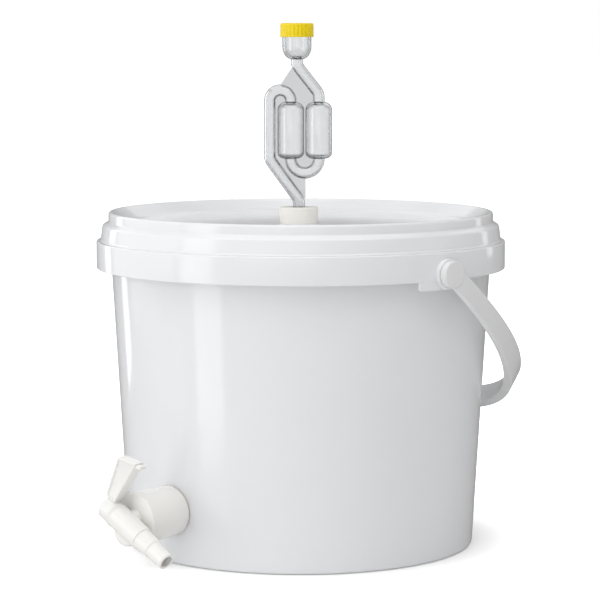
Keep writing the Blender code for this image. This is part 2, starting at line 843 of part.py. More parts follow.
outer_washer = turned("tap_outer_washer", [
    (tail_radius + gap, cut_margin),
    (washer_radius, cut_margin),
    (washer_radius, -cut_margin),
    (tail_radius + gap, -cut_margin),
], small_steps, tap_frame, False, True)
boolean(outer_washer, wall_shape("washer_front", gap + washer_thickness), "INTERSECT")
boolean(outer_washer, wall_shape("washer_back", gap), "DIFFERENCE")
inner_washer = turned("tap_inner_washer", [
    (tail_radius + gap, cut_margin),
    (inner_washer_radius, cut_margin),
    (inner_washer_radius, inner_washer_flat),
    (tail_radius + gap, inner_washer_flat),
], small_steps, tap_frame, False, True)
boolean(inner_washer, wall_shape("inside_of_wall", -wall - gap), "INTERSECT")

# Back nut
nut_outline = arc(0.0, 0.0, nut_radius, 0.0, 2.0 * math.pi, 6)[:-1]
nut = prism("tap_back_nut", nut_outline, nut_back, nut_front, tap_frame)
bore_low = nut_back - cut_margin
bore_high = nut_front + cut_margin
boolean(nut, rod("nut_bore", tail_radius + gap, bore_low, bore_high, small_steps, tap_frame), "DIFFERENCE")

# Tap body
spout_down = tap_side * math.cos(spout_slope) - tap_up * math.sin(spout_slope)
lever_up = tap_out.cross(spout_down)
spout_centre = tap_seat + tap_out * spout_axis_out
spout_frame = frame_of(spout_centre, lever_up, tap_out, spout_down)
tap_body = turned("tap_body", [
    (0.0, collar_front),
    (collar_front_radius - collar_round, collar_front),
    (collar_front_radius, collar_front - collar_round),
    (collar_wall_radius, -cut_margin),
    (0.0, -cut_margin),
], small_steps, tap_frame)
boolean(tap_body, wall_shape("collar_back", collar_clearance), "DIFFERENCE")
tail = rod("tail", tail_radius, tail_end, 0.5 * collar_front, small_steps, tap_frame)
boolean(tap_body, tail, "UNION")
barrel = turned("barrel", [
    (0.0, spout_end),
    (spout_end_radius, spout_end),
    (spout_start_radius, barb_end),
    (barb_end_radius, barb_end),
    (barb_start_radius, barrel_end),
    (barrel_end_radius, barrel_end),
    (barrel_start_radius, barrel_start + flange_length),
    (flange_radius, barrel_start + flange_length),
    (flange_radius, barrel_start),
    (0.0, barrel_start),
], small_steps, spout_frame, True)
boolean(tap_body, barrel, "UNION")
bore_end = collar_front - front_wall
neck_start = collar_front - 0.5 * front_wall
barrel_neck = rod("barrel_neck", barrel_neck_radius, neck_start, spout_axis_out, small_steps, tap_frame)
boss_front = spout_axis_out + barrel_boss_length
barrel_boss = turned("barrel_boss", [
    (0.0, boss_front),
    (barrel_boss_radius - barrel_boss_round, boss_front),
    (barrel_boss_radius, boss_front - barrel_boss_round),
    (barrel_boss_radius, spout_axis_out),
    (0.0, spout_axis_out),
], small_steps, tap_frame @ half_facet(small_steps), True)
tail_bore = rod("tail_bore", tail_radius - tail_wall, tail_end - cut_margin, bore_end, small_steps, tap_frame)
inlet_bore = rod("inlet_bore", port_radius, bore_end - cut_margin, spout_axis_out, tube_steps, tap_frame)
seat_start = barrel_start - cut_margin
plug_seat = rod("plug_seat", plug_radius + gap, seat_start, plug_end + gap, small_steps, spout_frame)
spout_bore = rod("spout_bore", spout_bore_radius, 0.0, spout_end + cut_margin, small_steps, spout_frame)
boolean(tap_body, barrel_neck, "UNION")
boolean(tap_body, barrel_boss, "UNION")
boolean(tap_body, tail_bore, "DIFFERENCE")
boolean(tap_body, inlet_bore, "DIFFERENCE")
boolean(tap_body, plug_seat, "DIFFERENCE")
boolean(tap_body, spout_bore, "DIFFERENCE", "MANIFOLD")

# Tap plug with its head and lever
plug = turned("tap_plug", [
    (0.0, plug_end),
    (plug_radius, plug_end),
    (plug_radius, head_start),
    (head_radius, head_start),
    (head_radius, head_end + head_round),
    (head_radius - head_round, head_end),
    (0.0, head_end),
], small_steps, spout_frame)


def lever_frame_point(along, height, out):
    """A point of the lever: along the spout's axis, away from it and out from the wall."""
    return Vector((height, out, along))


def slab(name, corners, low, high):
    """A block over four (along, height) corners, between a low and a high offset at each."""
    front = [lever_frame_point(a, h, f) for (a, h), f in zip(corners, high)]
    back = [lever_frame_point(a, h, b) for (a, h), b in zip(corners, low)]
    return lofted(name, [back, front], spout_frame, True)


blade = [
    (lever_foot_left, lever_foot),
    (lever_foot_right, lever_foot),
    (lever_top_right, lever_top_right_height),
    (lever_foot_left, lever_top_left_height),
]
lever = slab("lever_blade", blade, (lever_back_foot, lever_back_foot, lever_back_top, lever_back_top),
             (lever_front,) * 4)
rounding = lever.modifiers.new("edges", "BEVEL")
rounding.width = lever_round
rounding.segments = 1
neck = slab("lever_neck", [
    (lever_neck_left, lever_root),
    (lever_foot_right, lever_root),
    (lever_foot_right, lever_foot + lever_neck_inset),
    (lever_neck_left, lever_foot + lever_neck_inset),
], (lever_back_foot + lever_neck_inset,) * 4, (lever_front - lever_neck_inset,) * 4)
lip_back = lever_back_top + lever_round
lip = slab("lever_lip", [
    (lever_top_right - lip_length, lever_top_right_height - lip_thickness - lever_round),
    (lever_top_right + lip_length, lever_top_right_height - lip_thickness - lever_round),
    (lever_top_right + lip_length, lever_top_right_height - lever_round),
    (lever_top_right - lip_length, lever_top_right_height - lip_thickness),
], (lip_back,) * 4, (lip_back + lip_width,) * 4)
for piece in (neck, lever, lip):
    boolean(plug, piece, "UNION")
sharp_corner_rim = lever_panel_corner_share * lever_panel_rim
panel = slab("lever_panel", [
    (lever_foot_left + lever_panel_rim, lever_foot + lever_panel_rim),
    (lever_foot_right - lever_panel_rim, lever_foot + lever_panel_rim),
    (lever_top_right - sharp_corner_rim, lever_top_right_height - sharp_corner_rim),
    (lever_foot_left + lever_panel_rim, lever_top_left_height - lever_panel_rim),
], (lever_front - lever_panel_depth,) * 4, (lever_front + cut_margin,) * 4)
boolean(plug, panel, "DIFFERENCE")
bore_top = plug_end + cut_margin
plug_bore = rod("plug_bore", spout_bore_radius, -plug_bore_depth, bore_top, small_steps, spout_frame)
boolean(plug, plug_bore, "DIFFERENCE")
port_frame = frame_of(spout_centre, spout_down, tap_out, -lever_up)
plug_port = rod("plug_port", port_radius, 0.0, plug_radius + cut_margin, tube_steps, port_frame)
boolean(plug, plug_port, "DIFFERENCE")
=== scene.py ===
"""Looks of the fermentation bucket: finely moulded pieces, their materials, the light and the camera."""

import math

import bmesh
import bpy
from mathutils import Matrix, Vector


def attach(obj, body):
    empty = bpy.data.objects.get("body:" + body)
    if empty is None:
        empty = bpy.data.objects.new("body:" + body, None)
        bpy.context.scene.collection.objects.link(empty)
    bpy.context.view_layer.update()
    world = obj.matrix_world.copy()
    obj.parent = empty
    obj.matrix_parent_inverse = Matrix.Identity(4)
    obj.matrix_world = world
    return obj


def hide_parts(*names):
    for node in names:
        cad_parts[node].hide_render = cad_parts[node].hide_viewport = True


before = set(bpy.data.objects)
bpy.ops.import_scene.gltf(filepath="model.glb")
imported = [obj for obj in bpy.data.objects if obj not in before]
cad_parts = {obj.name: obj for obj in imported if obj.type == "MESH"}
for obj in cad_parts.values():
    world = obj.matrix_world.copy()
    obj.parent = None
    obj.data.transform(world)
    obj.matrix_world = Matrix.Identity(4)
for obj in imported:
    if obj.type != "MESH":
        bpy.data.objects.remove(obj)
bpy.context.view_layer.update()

# Facets, and the angles that count as an edge
ROUND_STEPS = 192
PART_STEPS = 96
AIRLOCK_STEPS = 72
BORE_STEPS = 64
HOLE_STEPS = 48
TUBE_STEPS = 40
CORNER_STEPS = 4
ROUND_PHASE = math.pi / ROUND_STEPS
PART_PHASE = math.pi / PART_STEPS
MERGE = 0.000004
SHARP = math.radians(32.0)
EDGE_ANGLE = math.radians(30.0)

# Room between pieces, and how far a cutter reaches past what it cuts
GAP = 0.0003
MARGIN = 0.004

# Up, and the level directions that the airlock and the camera are set along
UP = Vector((0.0, 0.0, 1.0))
VIEW_TURN = math.radians(47.75)
ACROSS = Vector((math.cos(VIEW_TURN), math.sin(VIEW_TURN), 0.0))
AWAY = Vector((-math.sin(VIEW_TURN), math.cos(VIEW_TURN), 0.0))


# Building blocks
def linked(name, mesh, place=None):
    """A new piece in the scene, its mesh moved to its place."""
    made = bpy.data.objects.new(name, mesh)
    bpy.context.scene.collection.objects.link(made)
    if place is not None:
        mesh.transform(place)
    return made


def baked(target):
    """Puts the modifiers' result into the piece's own mesh."""
    depsgraph = bpy.context.evaluated_depsgraph_get()
    mesh = bpy.data.meshes.new_from_object(target.evaluated_get(depsgraph))
    target.modifiers.clear()
    target.data = mesh


def combined(target, other, operation="UNION"):
    """Joins, cuts or crosses a piece with another, which is used up."""
    step = target.modifiers.new(other.name, "BOOLEAN")
    step.operation = operation
    step.object = other
    baked(target)
    bpy.data.objects.remove(other, do_unlink=True)


def eased(before, corner, after, size, steps):
    """Points that round a corner between its two neighbours, in place of the corner itself."""
    here = Vector(corner)
    start = here + (Vector(before) - here).normalized() * size
    end = here + (Vector(after) - here).normalized() * size
    points = []
    for i in range(steps + 1):
        t = i / steps
        points.append(tuple(start.lerp(here, t).lerp(here.lerp(end, t), t)))
    return points


def rounded(points, closed=False):
    """A profile whose corners carry a radius: (r, z) stays sharp, and (r, z, size) is eased by its size."""
    flat = []
    count = len(points)
    for i, point in enumerate(points):
        if len(point) == 2 or (not closed and i in (0, count - 1)):
            flat.append(tuple(Vector(point[:2])))
        else:
            after = points[(i + 1) % count]
            flat += eased(points[i - 1][:2], point[:2], after[:2], point[2], CORNER_STEPS)
    return flat


def quarter(r_from, z_from, r_to, z_to, outward_first, steps=10):
    """Points of a quarter ellipse between two (radius, height) points."""
    points = []
    for i in range(steps + 1):
        turn = 0.5 * math.pi * i / steps
        early = math.sin(turn)
        late = 1.0 - math.cos(turn)
        r_share = early if outward_first else late
        z_share = late if outward_first else early
        points.append((r_from + (r_to - r_from) * r_share, z_from + (z_to - z_from) * z_share))
    return points


def arc(centre_x, centre_y, radius, start, end, steps):
    """Points of an arc about a centre, from one angle to another."""
    angles = [start + (end - start) * i / steps for i in range(steps + 1)]
    return [(centre_x + radius * math.cos(a), centre_y + radius * math.sin(a)) for a in angles]


def turned(name, profile, steps, place=None, closed=False, phase=0.0):
    """A profile of (radius, height) turned about the local Z axis."""
    mesh = bpy.data.meshes.new(name)
    shape = bmesh.new()
    rings = []
    for r, z in profile:
        if r < MERGE:
            rings.append([shape.verts.new((0.0, 0.0, z))])
        else:
            turns = [phase + 2.0 * math.pi * i / steps for i in range(steps)]
            rings.append([shape.verts.new((r * math.cos(a), r * math.sin(a), z)) for a in turns])
    pairs = list(zip(rings, rings[1:]))
    if closed:
        pairs.append((rings[-1], rings[0]))
    for ring, following in pairs:
        for i in range(steps):
            j = (i + 1) % steps
            corners = [ring[i % len(ring)], ring[j % len(ring)]]
            corners += [following[j % len(following)], following[i % len(following)]]
            face = []
            for corner in corners:
                if corner not in face:
                    face.append(corner)
            if len(face) > 2:
                shape.faces.new(face)
    bmesh.ops.recalc_face_normals(shape, faces=shape.faces)
    shape.to_mesh(mesh)
    shape.free()
    return linked(name, mesh, place)


def rod(name, radius, low, high, steps, place):
    """A round bar along the local Z axis."""
    return turned(name, [(0.0, high), (radius, high), (radius, low), (0.0, low)], steps, place)


def lofted(name, sections, place=None):
    """A solid through rings of equally many points."""
    count = len(sections[0])
    points = [p for ring in sections for p in ring]
    faces = [tuple(reversed(range(count)))]
    for s in range(len(sections) - 1):
        for i in range(count):
            j = (i + 1) % count
            faces.append((s * count + i, s * count + j, (s + 1) * count + j, (s + 1) * count + i))
    last = (len(sections) - 1) * count
    faces.append(tuple(range(last, last + count)))
    mesh = bpy.data.meshes.new(name)
    mesh.from_pydata([tuple(p) for p in points], [], faces)
    shape = bmesh.new()
    shape.from_mesh(mesh)
    bmesh.ops.recalc_face_normals(shape, faces=shape.faces)
    shape.to_mesh(mesh)
    shape.free()
    return linked(name, mesh, place)


def prism(name, outline, low, high, place):
    """A solid with one outline between two heights."""
    return lofted(name, [[(x, y, low) for x, y in outline], [(x, y, high) for x, y in outline]], place)


def softened(target, width, segments=3):
    """Rounds a piece's edges."""
    step = target.modifiers.new("edges", "BEVEL")
    step.width = width
    step.segments = segments
    step.limit_method = "ANGLE"
    step.angle_limit = EDGE_ANGLE
    baked(target)


def finished(target, body, slot, material, *nodes):
    """Shades a piece, gives it its material, and has it stand for its CAD nodes on their body."""
    mesh = target.data
    shape = bmesh.new()
    shape.from_mesh(mesh)
    bmesh.ops.remove_doubles(shape, verts=shape.verts, dist=MERGE)
    shape.to_mesh(mesh)
    shape.free()
    mesh.materials.clear()
    mesh.materials.append(material)
    mesh.shade_smooth()
    mesh.set_sharp_from_angle(angle=SHARP)
    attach(target, body)
    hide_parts(*nodes)


def frame_of(origin, x_axis, y_axis, z_axis):
    """A place with these local axes."""
    columns = Matrix((x_axis, y_axis, z_axis)).transposed().to_4x4()
    return Matrix.Translation(origin) @ columns


# Materials
PLASTIC_IOR = 1.49
SOFT_DEPTH = 0.0015
TINT_PATCH = 0.045
GLOSS_PATCH = 0.012
CLEAR_IOR = 1.55
CLEAR_ROUGHNESS = 0.02
CLEAR_DENSITY = 240.0
WEB_REACH = 0.0007
WEB_SQUARENESS = 0.97


def plastic(name, colour, roughness, spread=0.05, relief=0.00002, relief_size=0.006, soft=0.0, tint=0.012):
    """Moulded plastic: a hint of colour variation, uneven gloss and a faint waviness of the surface."""
    made = bpy.data.materials.new(name)
    made.use_nodes = True
    nodes = made.node_tree.nodes
    links = made.node_tree.links
    shader = nodes["Principled BSDF"]
    shader.inputs["Roughness"].default_value = roughness
    shader.inputs["IOR"].default_value = PLASTIC_IOR
    shader.inputs["Subsurface Weight"].default_value = soft
    shader.inputs["Subsurface Radius"].default_value = (1.0, 0.9, 0.8)
    shader.inputs["Subsurface Scale"].default_value = SOFT_DEPTH
    where = nodes.new("ShaderNodeTexCoord")

    def noise(size, detail):
        made_noise = nodes.new("ShaderNodeTexNoise")
        made_noise.inputs["Scale"].default_value = 1.0 / size
        made_noise.inputs["Detail"].default_value = detail
        links.new(where.outputs["Object"], made_noise.inputs["Vector"])
        return made_noise

    shade = nodes.new("ShaderNodeMix")
    shade.data_type = "RGBA"
    shade.inputs["A"].default_value = (*[c * (1.0 - tint) for c in colour], 1.0)
    shade.inputs["B"].default_value = (*[min(c * (1.0 + tint), 1.0) for c in colour], 1.0)
    links.new(noise(TINT_PATCH, 3.0).outputs["Fac"], shade.inputs["Factor"])
    links.new(shade.outputs["Result"], shader.inputs["Base Color"])
    gloss = nodes.new("ShaderNodeMapRange")
    gloss.inputs["From Min"].default_value = 0.3
    gloss.inputs["From Max"].default_value = 0.7
    gloss.inputs["To Min"].default_value = roughness - spread
    gloss.inputs["To Max"].default_value = roughness + spread
    links.new(noise(GLOSS_PATCH, 4.0).outputs["Fac"], gloss.inputs["Value"])
    links.new(gloss.outputs["Result"], shader.inputs["Roughness"])
    bump = nodes.new("ShaderNodeBump")
    bump.inputs["Strength"].default_value = 1.0
    bump.inputs["Distance"].default_value = relief
    links.new(noise(relief_size, 2.0).outputs["Fac"], bump.inputs["Height"])
    links.new(bump.outputs["Normal"], shader.inputs["Normal"])
    return made


def clear_plastic(name):
    """Clear polished plastic, with shade painted into its colour greyer towards its outlines, and greyer on
    the flat web between its tubes.
    """
    made = bpy.data.materials.new(name)
    made.use_nodes = True
    nodes = made.node_tree.nodes
    links = made.node_tree.links
    shader = nodes["Principled BSDF"]
    shader.inputs["Transmission Weight"].default_value = 1.0
    shader.inputs["IOR"].default_value = CLEAR_IOR
    where = nodes.new("ShaderNodeTexCoord")
    noise = nodes.new("ShaderNodeTexNoise")
    noise.inputs["Scale"].default_value = 60.0
    noise.inputs["Detail"].default_value = 1.0
    links.new(where.outputs["Object"], noise.inputs["Vector"])
    gloss = nodes.new("ShaderNodeMapRange")
    gloss.inputs["To Min"].default_value = 0.0
    gloss.inputs["To Max"].default_value = CLEAR_ROUGHNESS
    links.new(noise.outputs["Fac"], gloss.inputs["Value"])
    links.new(gloss.outputs["Result"], shader.inputs["Roughness"])
    # Painted shade: the base colour darkens towards the outlines, where the surface turns away from the eye.
    painted_edge_shade_weight = nodes.new("ShaderNodeLayerWeight")
    painted_edge_shade_weight.inputs["Blend"].default_value = 0.5
    outline = nodes.new("ShaderNodeValToRGB")
    outline.color_ramp.elements[0].position = 0.2
    outline.color_ramp.elements[0].color = (0.95, 0.955, 0.96, 1.0)
    outline.color_ramp.elements[1].position = 0.72
    outline.color_ramp.elements[1].color = (0.34, 0.35, 0.36, 1.0)
    links.new(painted_edge_shade_weight.outputs["Facing"], outline.inputs["Fac"])

    def square_to_plane(source):
        """How far a local vector reaches out of the airlock's own plane."""
        along = nodes.new("ShaderNodeVectorMath")
        along.operation = "DOT_PRODUCT"
        along.inputs[1].default_value = AWAY
        size = nodes.new("ShaderNodeMath")
        size.operation = "ABSOLUTE"
        links.new(source, along.inputs[0])
        links.new(along.outputs["Value"], size.inputs[0])
        return size.outputs["Value"]

    flat = nodes.new("ShaderNodeMath")
    flat.operation = "GREATER_THAN"
    flat.inputs[1].default_value = WEB_SQUARENESS
    links.new(square_to_plane(where.outputs["Normal"]), flat.inputs[0])
    thin = nodes.new("ShaderNodeMath")
    thin.operation = "LESS_THAN"
    thin.inputs[1].default_value = WEB_REACH
    links.new(square_to_plane(where.outputs["Object"]), thin.inputs[0])
    web = nodes.new("ShaderNodeMath")
    web.operation = "MULTIPLY"
    links.new(flat.outputs["Value"], web.inputs[0])
    links.new(thin.outputs["Value"], web.inputs[1])
    tone = nodes.new("ShaderNodeMix")
    tone.data_type = "RGBA"
    tone.inputs["B"].default_value = (0.68, 0.69, 0.70, 1.0)
    links.new(web.outputs["Value"], tone.inputs["Factor"])
    links.new(outline.outputs["Color"], tone.inputs["A"])
    links.new(tone.outputs["Result"], shader.inputs["Base Color"])
    absorb = nodes.new("ShaderNodeVolumeAbsorption")
    absorb.inputs["Color"].default_value = (0.60, 0.61, 0.62, 1.0)
    absorb.inputs["Density"].default_value = CLEAR_DENSITY
    links.new(absorb.outputs["Volume"], nodes["Material Output"].inputs["Volume"])
    return made


WHITE = plastic("bucket_white", (0.872, 0.884, 0.91), 0.11, spread=0.02, relief=0.000006, relief_size=0.014)
LID_WHITE = plastic("lid_white", (0.872, 0.884, 0.91), 0.11, spread=0.02, relief=0.000005, relief_size=0.012)
HANDLE_WHITE = plastic("handle_white", (0.81, 0.815, 0.825), 0.20, relief=0.000005, relief_size=0.004)
TAP_WHITE = plastic("tap_white", (0.92, 0.915, 0.89), 0.22, relief=0.000006, relief_size=0.0025, soft=0.15)
PLUG_WHITE = plastic("plug_white", (0.92, 0.915, 0.895), 0.22, relief=0.000006, relief_size=0.0025, soft=0.15)
CREAM = plastic("bung_cream", (0.95, 0.925, 0.88), 0.42, relief=0.00004, relief_size=0.0012, tint=0.02)
BEIGE = plastic("washer_beige", (0.60, 0.50, 0.38), 0.65, relief=0.00004, relief_size=0.001, tint=0.03)
GASKET = plastic("gasket_white", (0.78, 0.78, 0.75), 0.6, relief=0.00004, relief_size=0.001, tint=0.02)
YELLOW = plastic("cap_yellow", (0.90, 0.68, 0.0), 0.32, spread=0.02, relief=0.000001, relief_size=0.004,
                 tint=0.01)
CLEAR = clear_plastic("airlock_clear")

# Bucket
BASE_RADIUS = 0.1188
BODY_HEIGHT = 0.1901
FLARE = 0.0109
DRAFT = FLARE / BODY_HEIGHT
WALL = 0.0021
BOTTOM = 0.0026
BOTTOM_FILLET = 0.004
STRAIGHT_FROM = 0.02
BASE_EDGE = 0.012
BRIM_INSET = 0.0005
BRIM_WALL = 0.0021
BRIM_HEIGHT = 0.0145
BEAD_RISE = 0.0037
BEAD_HEIGHT = 0.0035
BEAD_REACH = 0.0023
SHELF_WIDTH = 0.0108
SHELF_THICKNESS = 0.0021
SHELF_DROP = 0.0005
SKIRT_HEIGHT = 0.0187
SKIRT_WALL = 0.0022
SKIRT_BEVEL = 0.0010
BRIM_RADIUS = BASE_RADIUS + FLARE - BRIM_INSET
SKIRT_RADIUS = BRIM_RADIUS + SHELF_WIDTH
SKIRT_TOP = BODY_HEIGHT + SKIRT_HEIGHT
SHELF_TOP = SKIRT_TOP - SHELF_DROP
BRIM_TOP = SHELF_TOP + BRIM_HEIGHT
BOSS_RADIUS = 0.010
BOSS_REACH = 0.0031
BOSS_END = SKIRT_RADIUS + BOSS_REACH
PIVOT_RISE = 0.0045
PIVOT = BODY_HEIGHT + PIVOT_RISE
TAB_HALF = 0.0222
TAB_DROP = 0.0058
TAB_ROOT = 0.0025
TAB_CORNER = 0.0025
TAB_CORNER_STEPS = 6
TAB_INSET = 0.0002
PEG_RADIUS = 0.0042


def wall_radius(height):
    return BASE_RADIUS + DRAFT * height


def side_frame(side):
    """A frame on the handle's pivot axis, its Z pointing out of one side of the bucket."""
    outward = Vector((side, 0.0, 0.0))
    return frame_of(UP * PIVOT, UP.cross(outward), UP, outward)


def bucket_piece():
    shelf_low = SHELF_TOP - SHELF_THICKNESS
    bead_low = SHELF_TOP + BEAD_RISE
    skirt_inner = SKIRT_RADIUS - SKIRT_WALL
    profile = [(0.0, BOTTOM)]
    profile += quarter(wall_radius(BOTTOM) - WALL - BOTTOM_FILLET, BOTTOM,
                       wall_radius(BOTTOM + BOTTOM_FILLET) - WALL, BOTTOM + BOTTOM_FILLET, True)
    profile += rounded([
        (wall_radius(STRAIGHT_FROM) - WALL, STRAIGHT_FROM),
        (wall_radius(shelf_low) - WALL, shelf_low, 0.001),
        (BRIM_RADIUS - BRIM_WALL, SHELF_TOP, 0.001),
        (BRIM_RADIUS - BRIM_WALL, BRIM_TOP, 0.0008),
        (BRIM_RADIUS, BRIM_TOP, 0.0008),
        (BRIM_RADIUS, bead_low + BEAD_HEIGHT, 0.0008),
        (BRIM_RADIUS + BEAD_REACH, bead_low + 0.5 * BEAD_HEIGHT, 0.0012),
        (BRIM_RADIUS, bead_low, 0.0008),
        (BRIM_RADIUS, SHELF_TOP, 0.0008),
        (skirt_inner, SHELF_TOP, 0.0003),
        (skirt_inner + SKIRT_BEVEL, SKIRT_TOP, 0.0003),
        (SKIRT_RADIUS, SKIRT_TOP, 0.0010),
        (SKIRT_RADIUS, BODY_HEIGHT, 0.0007),
        (skirt_inner, BODY_HEIGHT, 0.0006),
        (skirt_inner, shelf_low, 0.001),
        (wall_radius(shelf_low), shelf_low, 0.0015),
        (BASE_RADIUS, 0.0, 0.0022),
        (BASE_RADIUS - BASE_EDGE, 0.0),
        (0.0, 0.0),
    ])
    piece = turned("bucket_shell", profile, ROUND_STEPS)
    tab_low = BODY_HEIGHT - TAB_DROP
    low = tab_low - PIVOT
    corner = TAB_HALF - TAB_CORNER
    for side in (1.0, -1.0):
        tab = turned("tab", [
            (skirt_inner + TAB_INSET, BODY_HEIGHT + TAB_ROOT),
            (SKIRT_RADIUS - TAB_INSET, BODY_HEIGHT + TAB_ROOT),
            (SKIRT_RADIUS - TAB_INSET, tab_low),
            (skirt_inner + TAB_INSET, tab_low),
        ], ROUND_STEPS, closed=True, phase=ROUND_PHASE)
        outline = arc(-corner, low + TAB_CORNER, TAB_CORNER, math.pi, 1.5 * math.pi, TAB_CORNER_STEPS)
        outline += arc(corner, low + TAB_CORNER, TAB_CORNER, 1.5 * math.pi, 2.0 * math.pi, TAB_CORNER_STEPS)
        outline += [(TAB_HALF, 0.0), (-TAB_HALF, 0.0)]
        window = prism("window", outline, BRIM_RADIUS, SKIRT_RADIUS + MARGIN, side_frame(side))
        combined(tab, window, "INTERSECT")
        softened(tab, 0.0005)
        combined(piece, tab)
        boss = turned("boss", rounded([
            (0.0, BOSS_END),
            (BOSS_RADIUS, BOSS_END, 0.0010),
            (BOSS_RADIUS, SKIRT_RADIUS - 0.5 * SKIRT_WALL),
            (0.0, SKIRT_RADIUS - 0.5 * SKIRT_WALL),
        ]), PART_STEPS, side_frame(side), phase=PART_PHASE)
        combined(piece, boss)
    for side in (1.0, -1.0):
        bore = rod("bore", PEG_RADIUS + GAP, skirt_inner - MARGIN, BOSS_END + MARGIN, HOLE_STEPS,
                   side_frame(side))
        combined(piece, bore, "DIFFERENCE")
    hole = rod("hole", HOLE_RADIUS, -WALL - MARGIN, MARGIN, PART_STEPS, TAP_FRAME)
    combined(piece, hole, "DIFFERENCE")
    finished(piece, "bucket", "bucket_plastic", WHITE, "bucket")


# Tap, in a frame on the drafted wall: local Z leaves the wall squarely, X runs level and Y up the wall
TAP_TILT = math.atan(DRAFT)
TAP_TURN = math.radians(3.15)
TAP_LEVEL = Vector((math.sin(TAP_TURN), -math.cos(TAP_TURN), 0.0))
TAP_SIDE = Vector((math.cos(TAP_TURN), math.sin(TAP_TURN), 0.0))
TAP_OUT = TAP_LEVEL * math.cos(TAP_TILT) - UP * math.sin(TAP_TILT)
TAP_UP = TAP_OUT.cross(TAP_SIDE)
TAP_HEIGHT = 0.0366
TAP_SEAT = TAP_LEVEL * wall_radius(TAP_HEIGHT) + UP * TAP_HEIGHT
TAP_FRAME = frame_of(TAP_SEAT, TAP_SIDE, TAP_UP, TAP_OUT)
HOLE_RADIUS = 0.0135
TAIL_RADIUS = 0.0131
TAIL_WALL = 0.0041
COLLAR_STEP = 0.0032
COLLAR_WALL_RADIUS = TAIL_RADIUS + COLLAR_STEP
COLLAR_FLARE = 0.0013
COLLAR_LENGTH = 0.0310
COLLAR_FACE = 0.0030
WASHER_THICKNESS = 0.0006
WASHER_INSET = 0.0003
COLLAR_CLEARANCE = GAP + WASHER_THICKNESS + GAP
COLLAR_FRONT = COLLAR_CLEARANCE + COLLAR_LENGTH
SPOUT_OFFSET = 0.0096
SPOUT_OUT = COLLAR_FRONT + SPOUT_OFFSET
INNER_WASHER_REACH = 0.0029
NUT_LENGTH = 0.0080
TAIL_PAST_NUT = 0.0054
INNER_WASHER_FLAT = -WALL - GAP - INNER_WASHER_REACH
TAIL_END = INNER_WASHER_FLAT - GAP - NUT_LENGTH - TAIL_PAST_NUT
NECK_RADIUS = 0.0065
NECK_SINK = 0.0015
BULGE_RADIUS = 0.0095
BULGE_REACH = 0.0058
BULGE_ALONG = 0.0065
BULGE_DROP = 0.0022
PORT_RADIUS = 0.0034
BARREL_START = -0.0085
BARREL_END = 0.0186
BARB_LENGTH = 0.0117
TIP_LENGTH = 0.0138
BARB_END = BARREL_END + BARB_LENGTH
SPOUT_END = BARB_END + TIP_LENGTH
SPOUT_BORE = 0.0042
SPOUT_WALL = 0.0014
PLUG_WALL = 0.0013
PLUG_SHORT = 0.0060
SPOUT_END_RADIUS = SPOUT_BORE + SPOUT_WALL
SPOUT_START_RADIUS = SPOUT_END_RADIUS + 0.0005
BARB_END_RADIUS = SPOUT_START_RADIUS + 0.0004
BARB_START_RADIUS = BARB_END_RADIUS + 0.0006
BARREL_END_RADIUS = BARB_START_RADIUS + 0.0007
BARREL_START_RADIUS = BARREL_END_RADIUS + 0.0004
FLANGE_RADIUS = BARREL_START_RADIUS + 0.0003
FLANGE_LENGTH = 0.0014
SPOUT_SLOPE = math.radians(27.8)
SPOUT_DOWN = TAP_SIDE * math.cos(SPOUT_SLOPE) - TAP_UP * math.sin(SPOUT_SLOPE)
LEVER_UP = TAP_OUT.cross(SPOUT_DOWN)
SPOUT_CENTRE = TAP_SEAT + TAP_OUT * SPOUT_OUT
SPOUT_FRAME = frame_of(SPOUT_CENTRE, LEVER_UP, TAP_OUT, SPOUT_DOWN)
bucket_piece()

# Lid
LID_WALL = 0.0017
LID_THICKNESS = 0.0016
LID_CENTRE_RADIUS = 0.020
LID_RING_INSET = 0.010
LID_FLOOR_TOP = BRIM_TOP - 0.0028
LID_RIM_RADIUS = BRIM_RADIUS + 0.0025
CREST_EASE = 0.0020
CREST_WIDTH = 0.0019
SLOPE_WIDTH = 0.0068
SLOPE_RISE = 0.0055
TOE_REACH = 0.0017
TOE_RISE = 0.0005
CREST_RADIUS = LID_RIM_RADIUS - CREST_EASE
CREST_INNER = CREST_RADIUS - CREST_WIDTH
SLOPE_RADIUS = CREST_INNER - SLOPE_WIDTH
LID_FLOOR_RADIUS = SLOPE_RADIUS - 0.0034
STEP_RADIUS = LID_RIM_RADIUS + 0.0041
EDGE_RADIUS = STEP_RADIUS + 0.0012
SLOPE_HEIGHT = LID_FLOOR_TOP + 0.0020
CREST_INNER_HEIGHT = SLOPE_HEIGHT + SLOPE_RISE
CREST_HEIGHT = CREST_INNER_HEIGHT + 0.0009
RIM_HEIGHT = 0.0047
RIM_FOOT = CREST_HEIGHT - CREST_EASE - RIM_HEIGHT
STEP_HEIGHT = RIM_FOOT - 0.0024
EDGE_BOTTOM = SHELF_TOP + 0.0001
EDGE_HEIGHT = 0.0017
EDGE_BEAD_HEIGHT = 0.0010
EDGE_BEAD_RADIUS = EDGE_RADIUS + 0.0007
GASKET_HEIGHT = 0.0021
LID_ROOF = BRIM_TOP + GAP + GASKET_HEIGHT + GAP
STEM_X = -0.0012
BUNG_TOP = LID_FLOOR_TOP + 0.0109
BUNG_HEIGHT = 0.026
BUNG_RADIUS = 0.0133
BUNG_TAPER = 0.0011
BUNG_PLACE = Matrix.Translation(ACROSS * STEM_X)


def bung_radius(height):
    return BUNG_RADIUS - BUNG_TAPER * (BUNG_TOP - height) / BUNG_HEIGHT


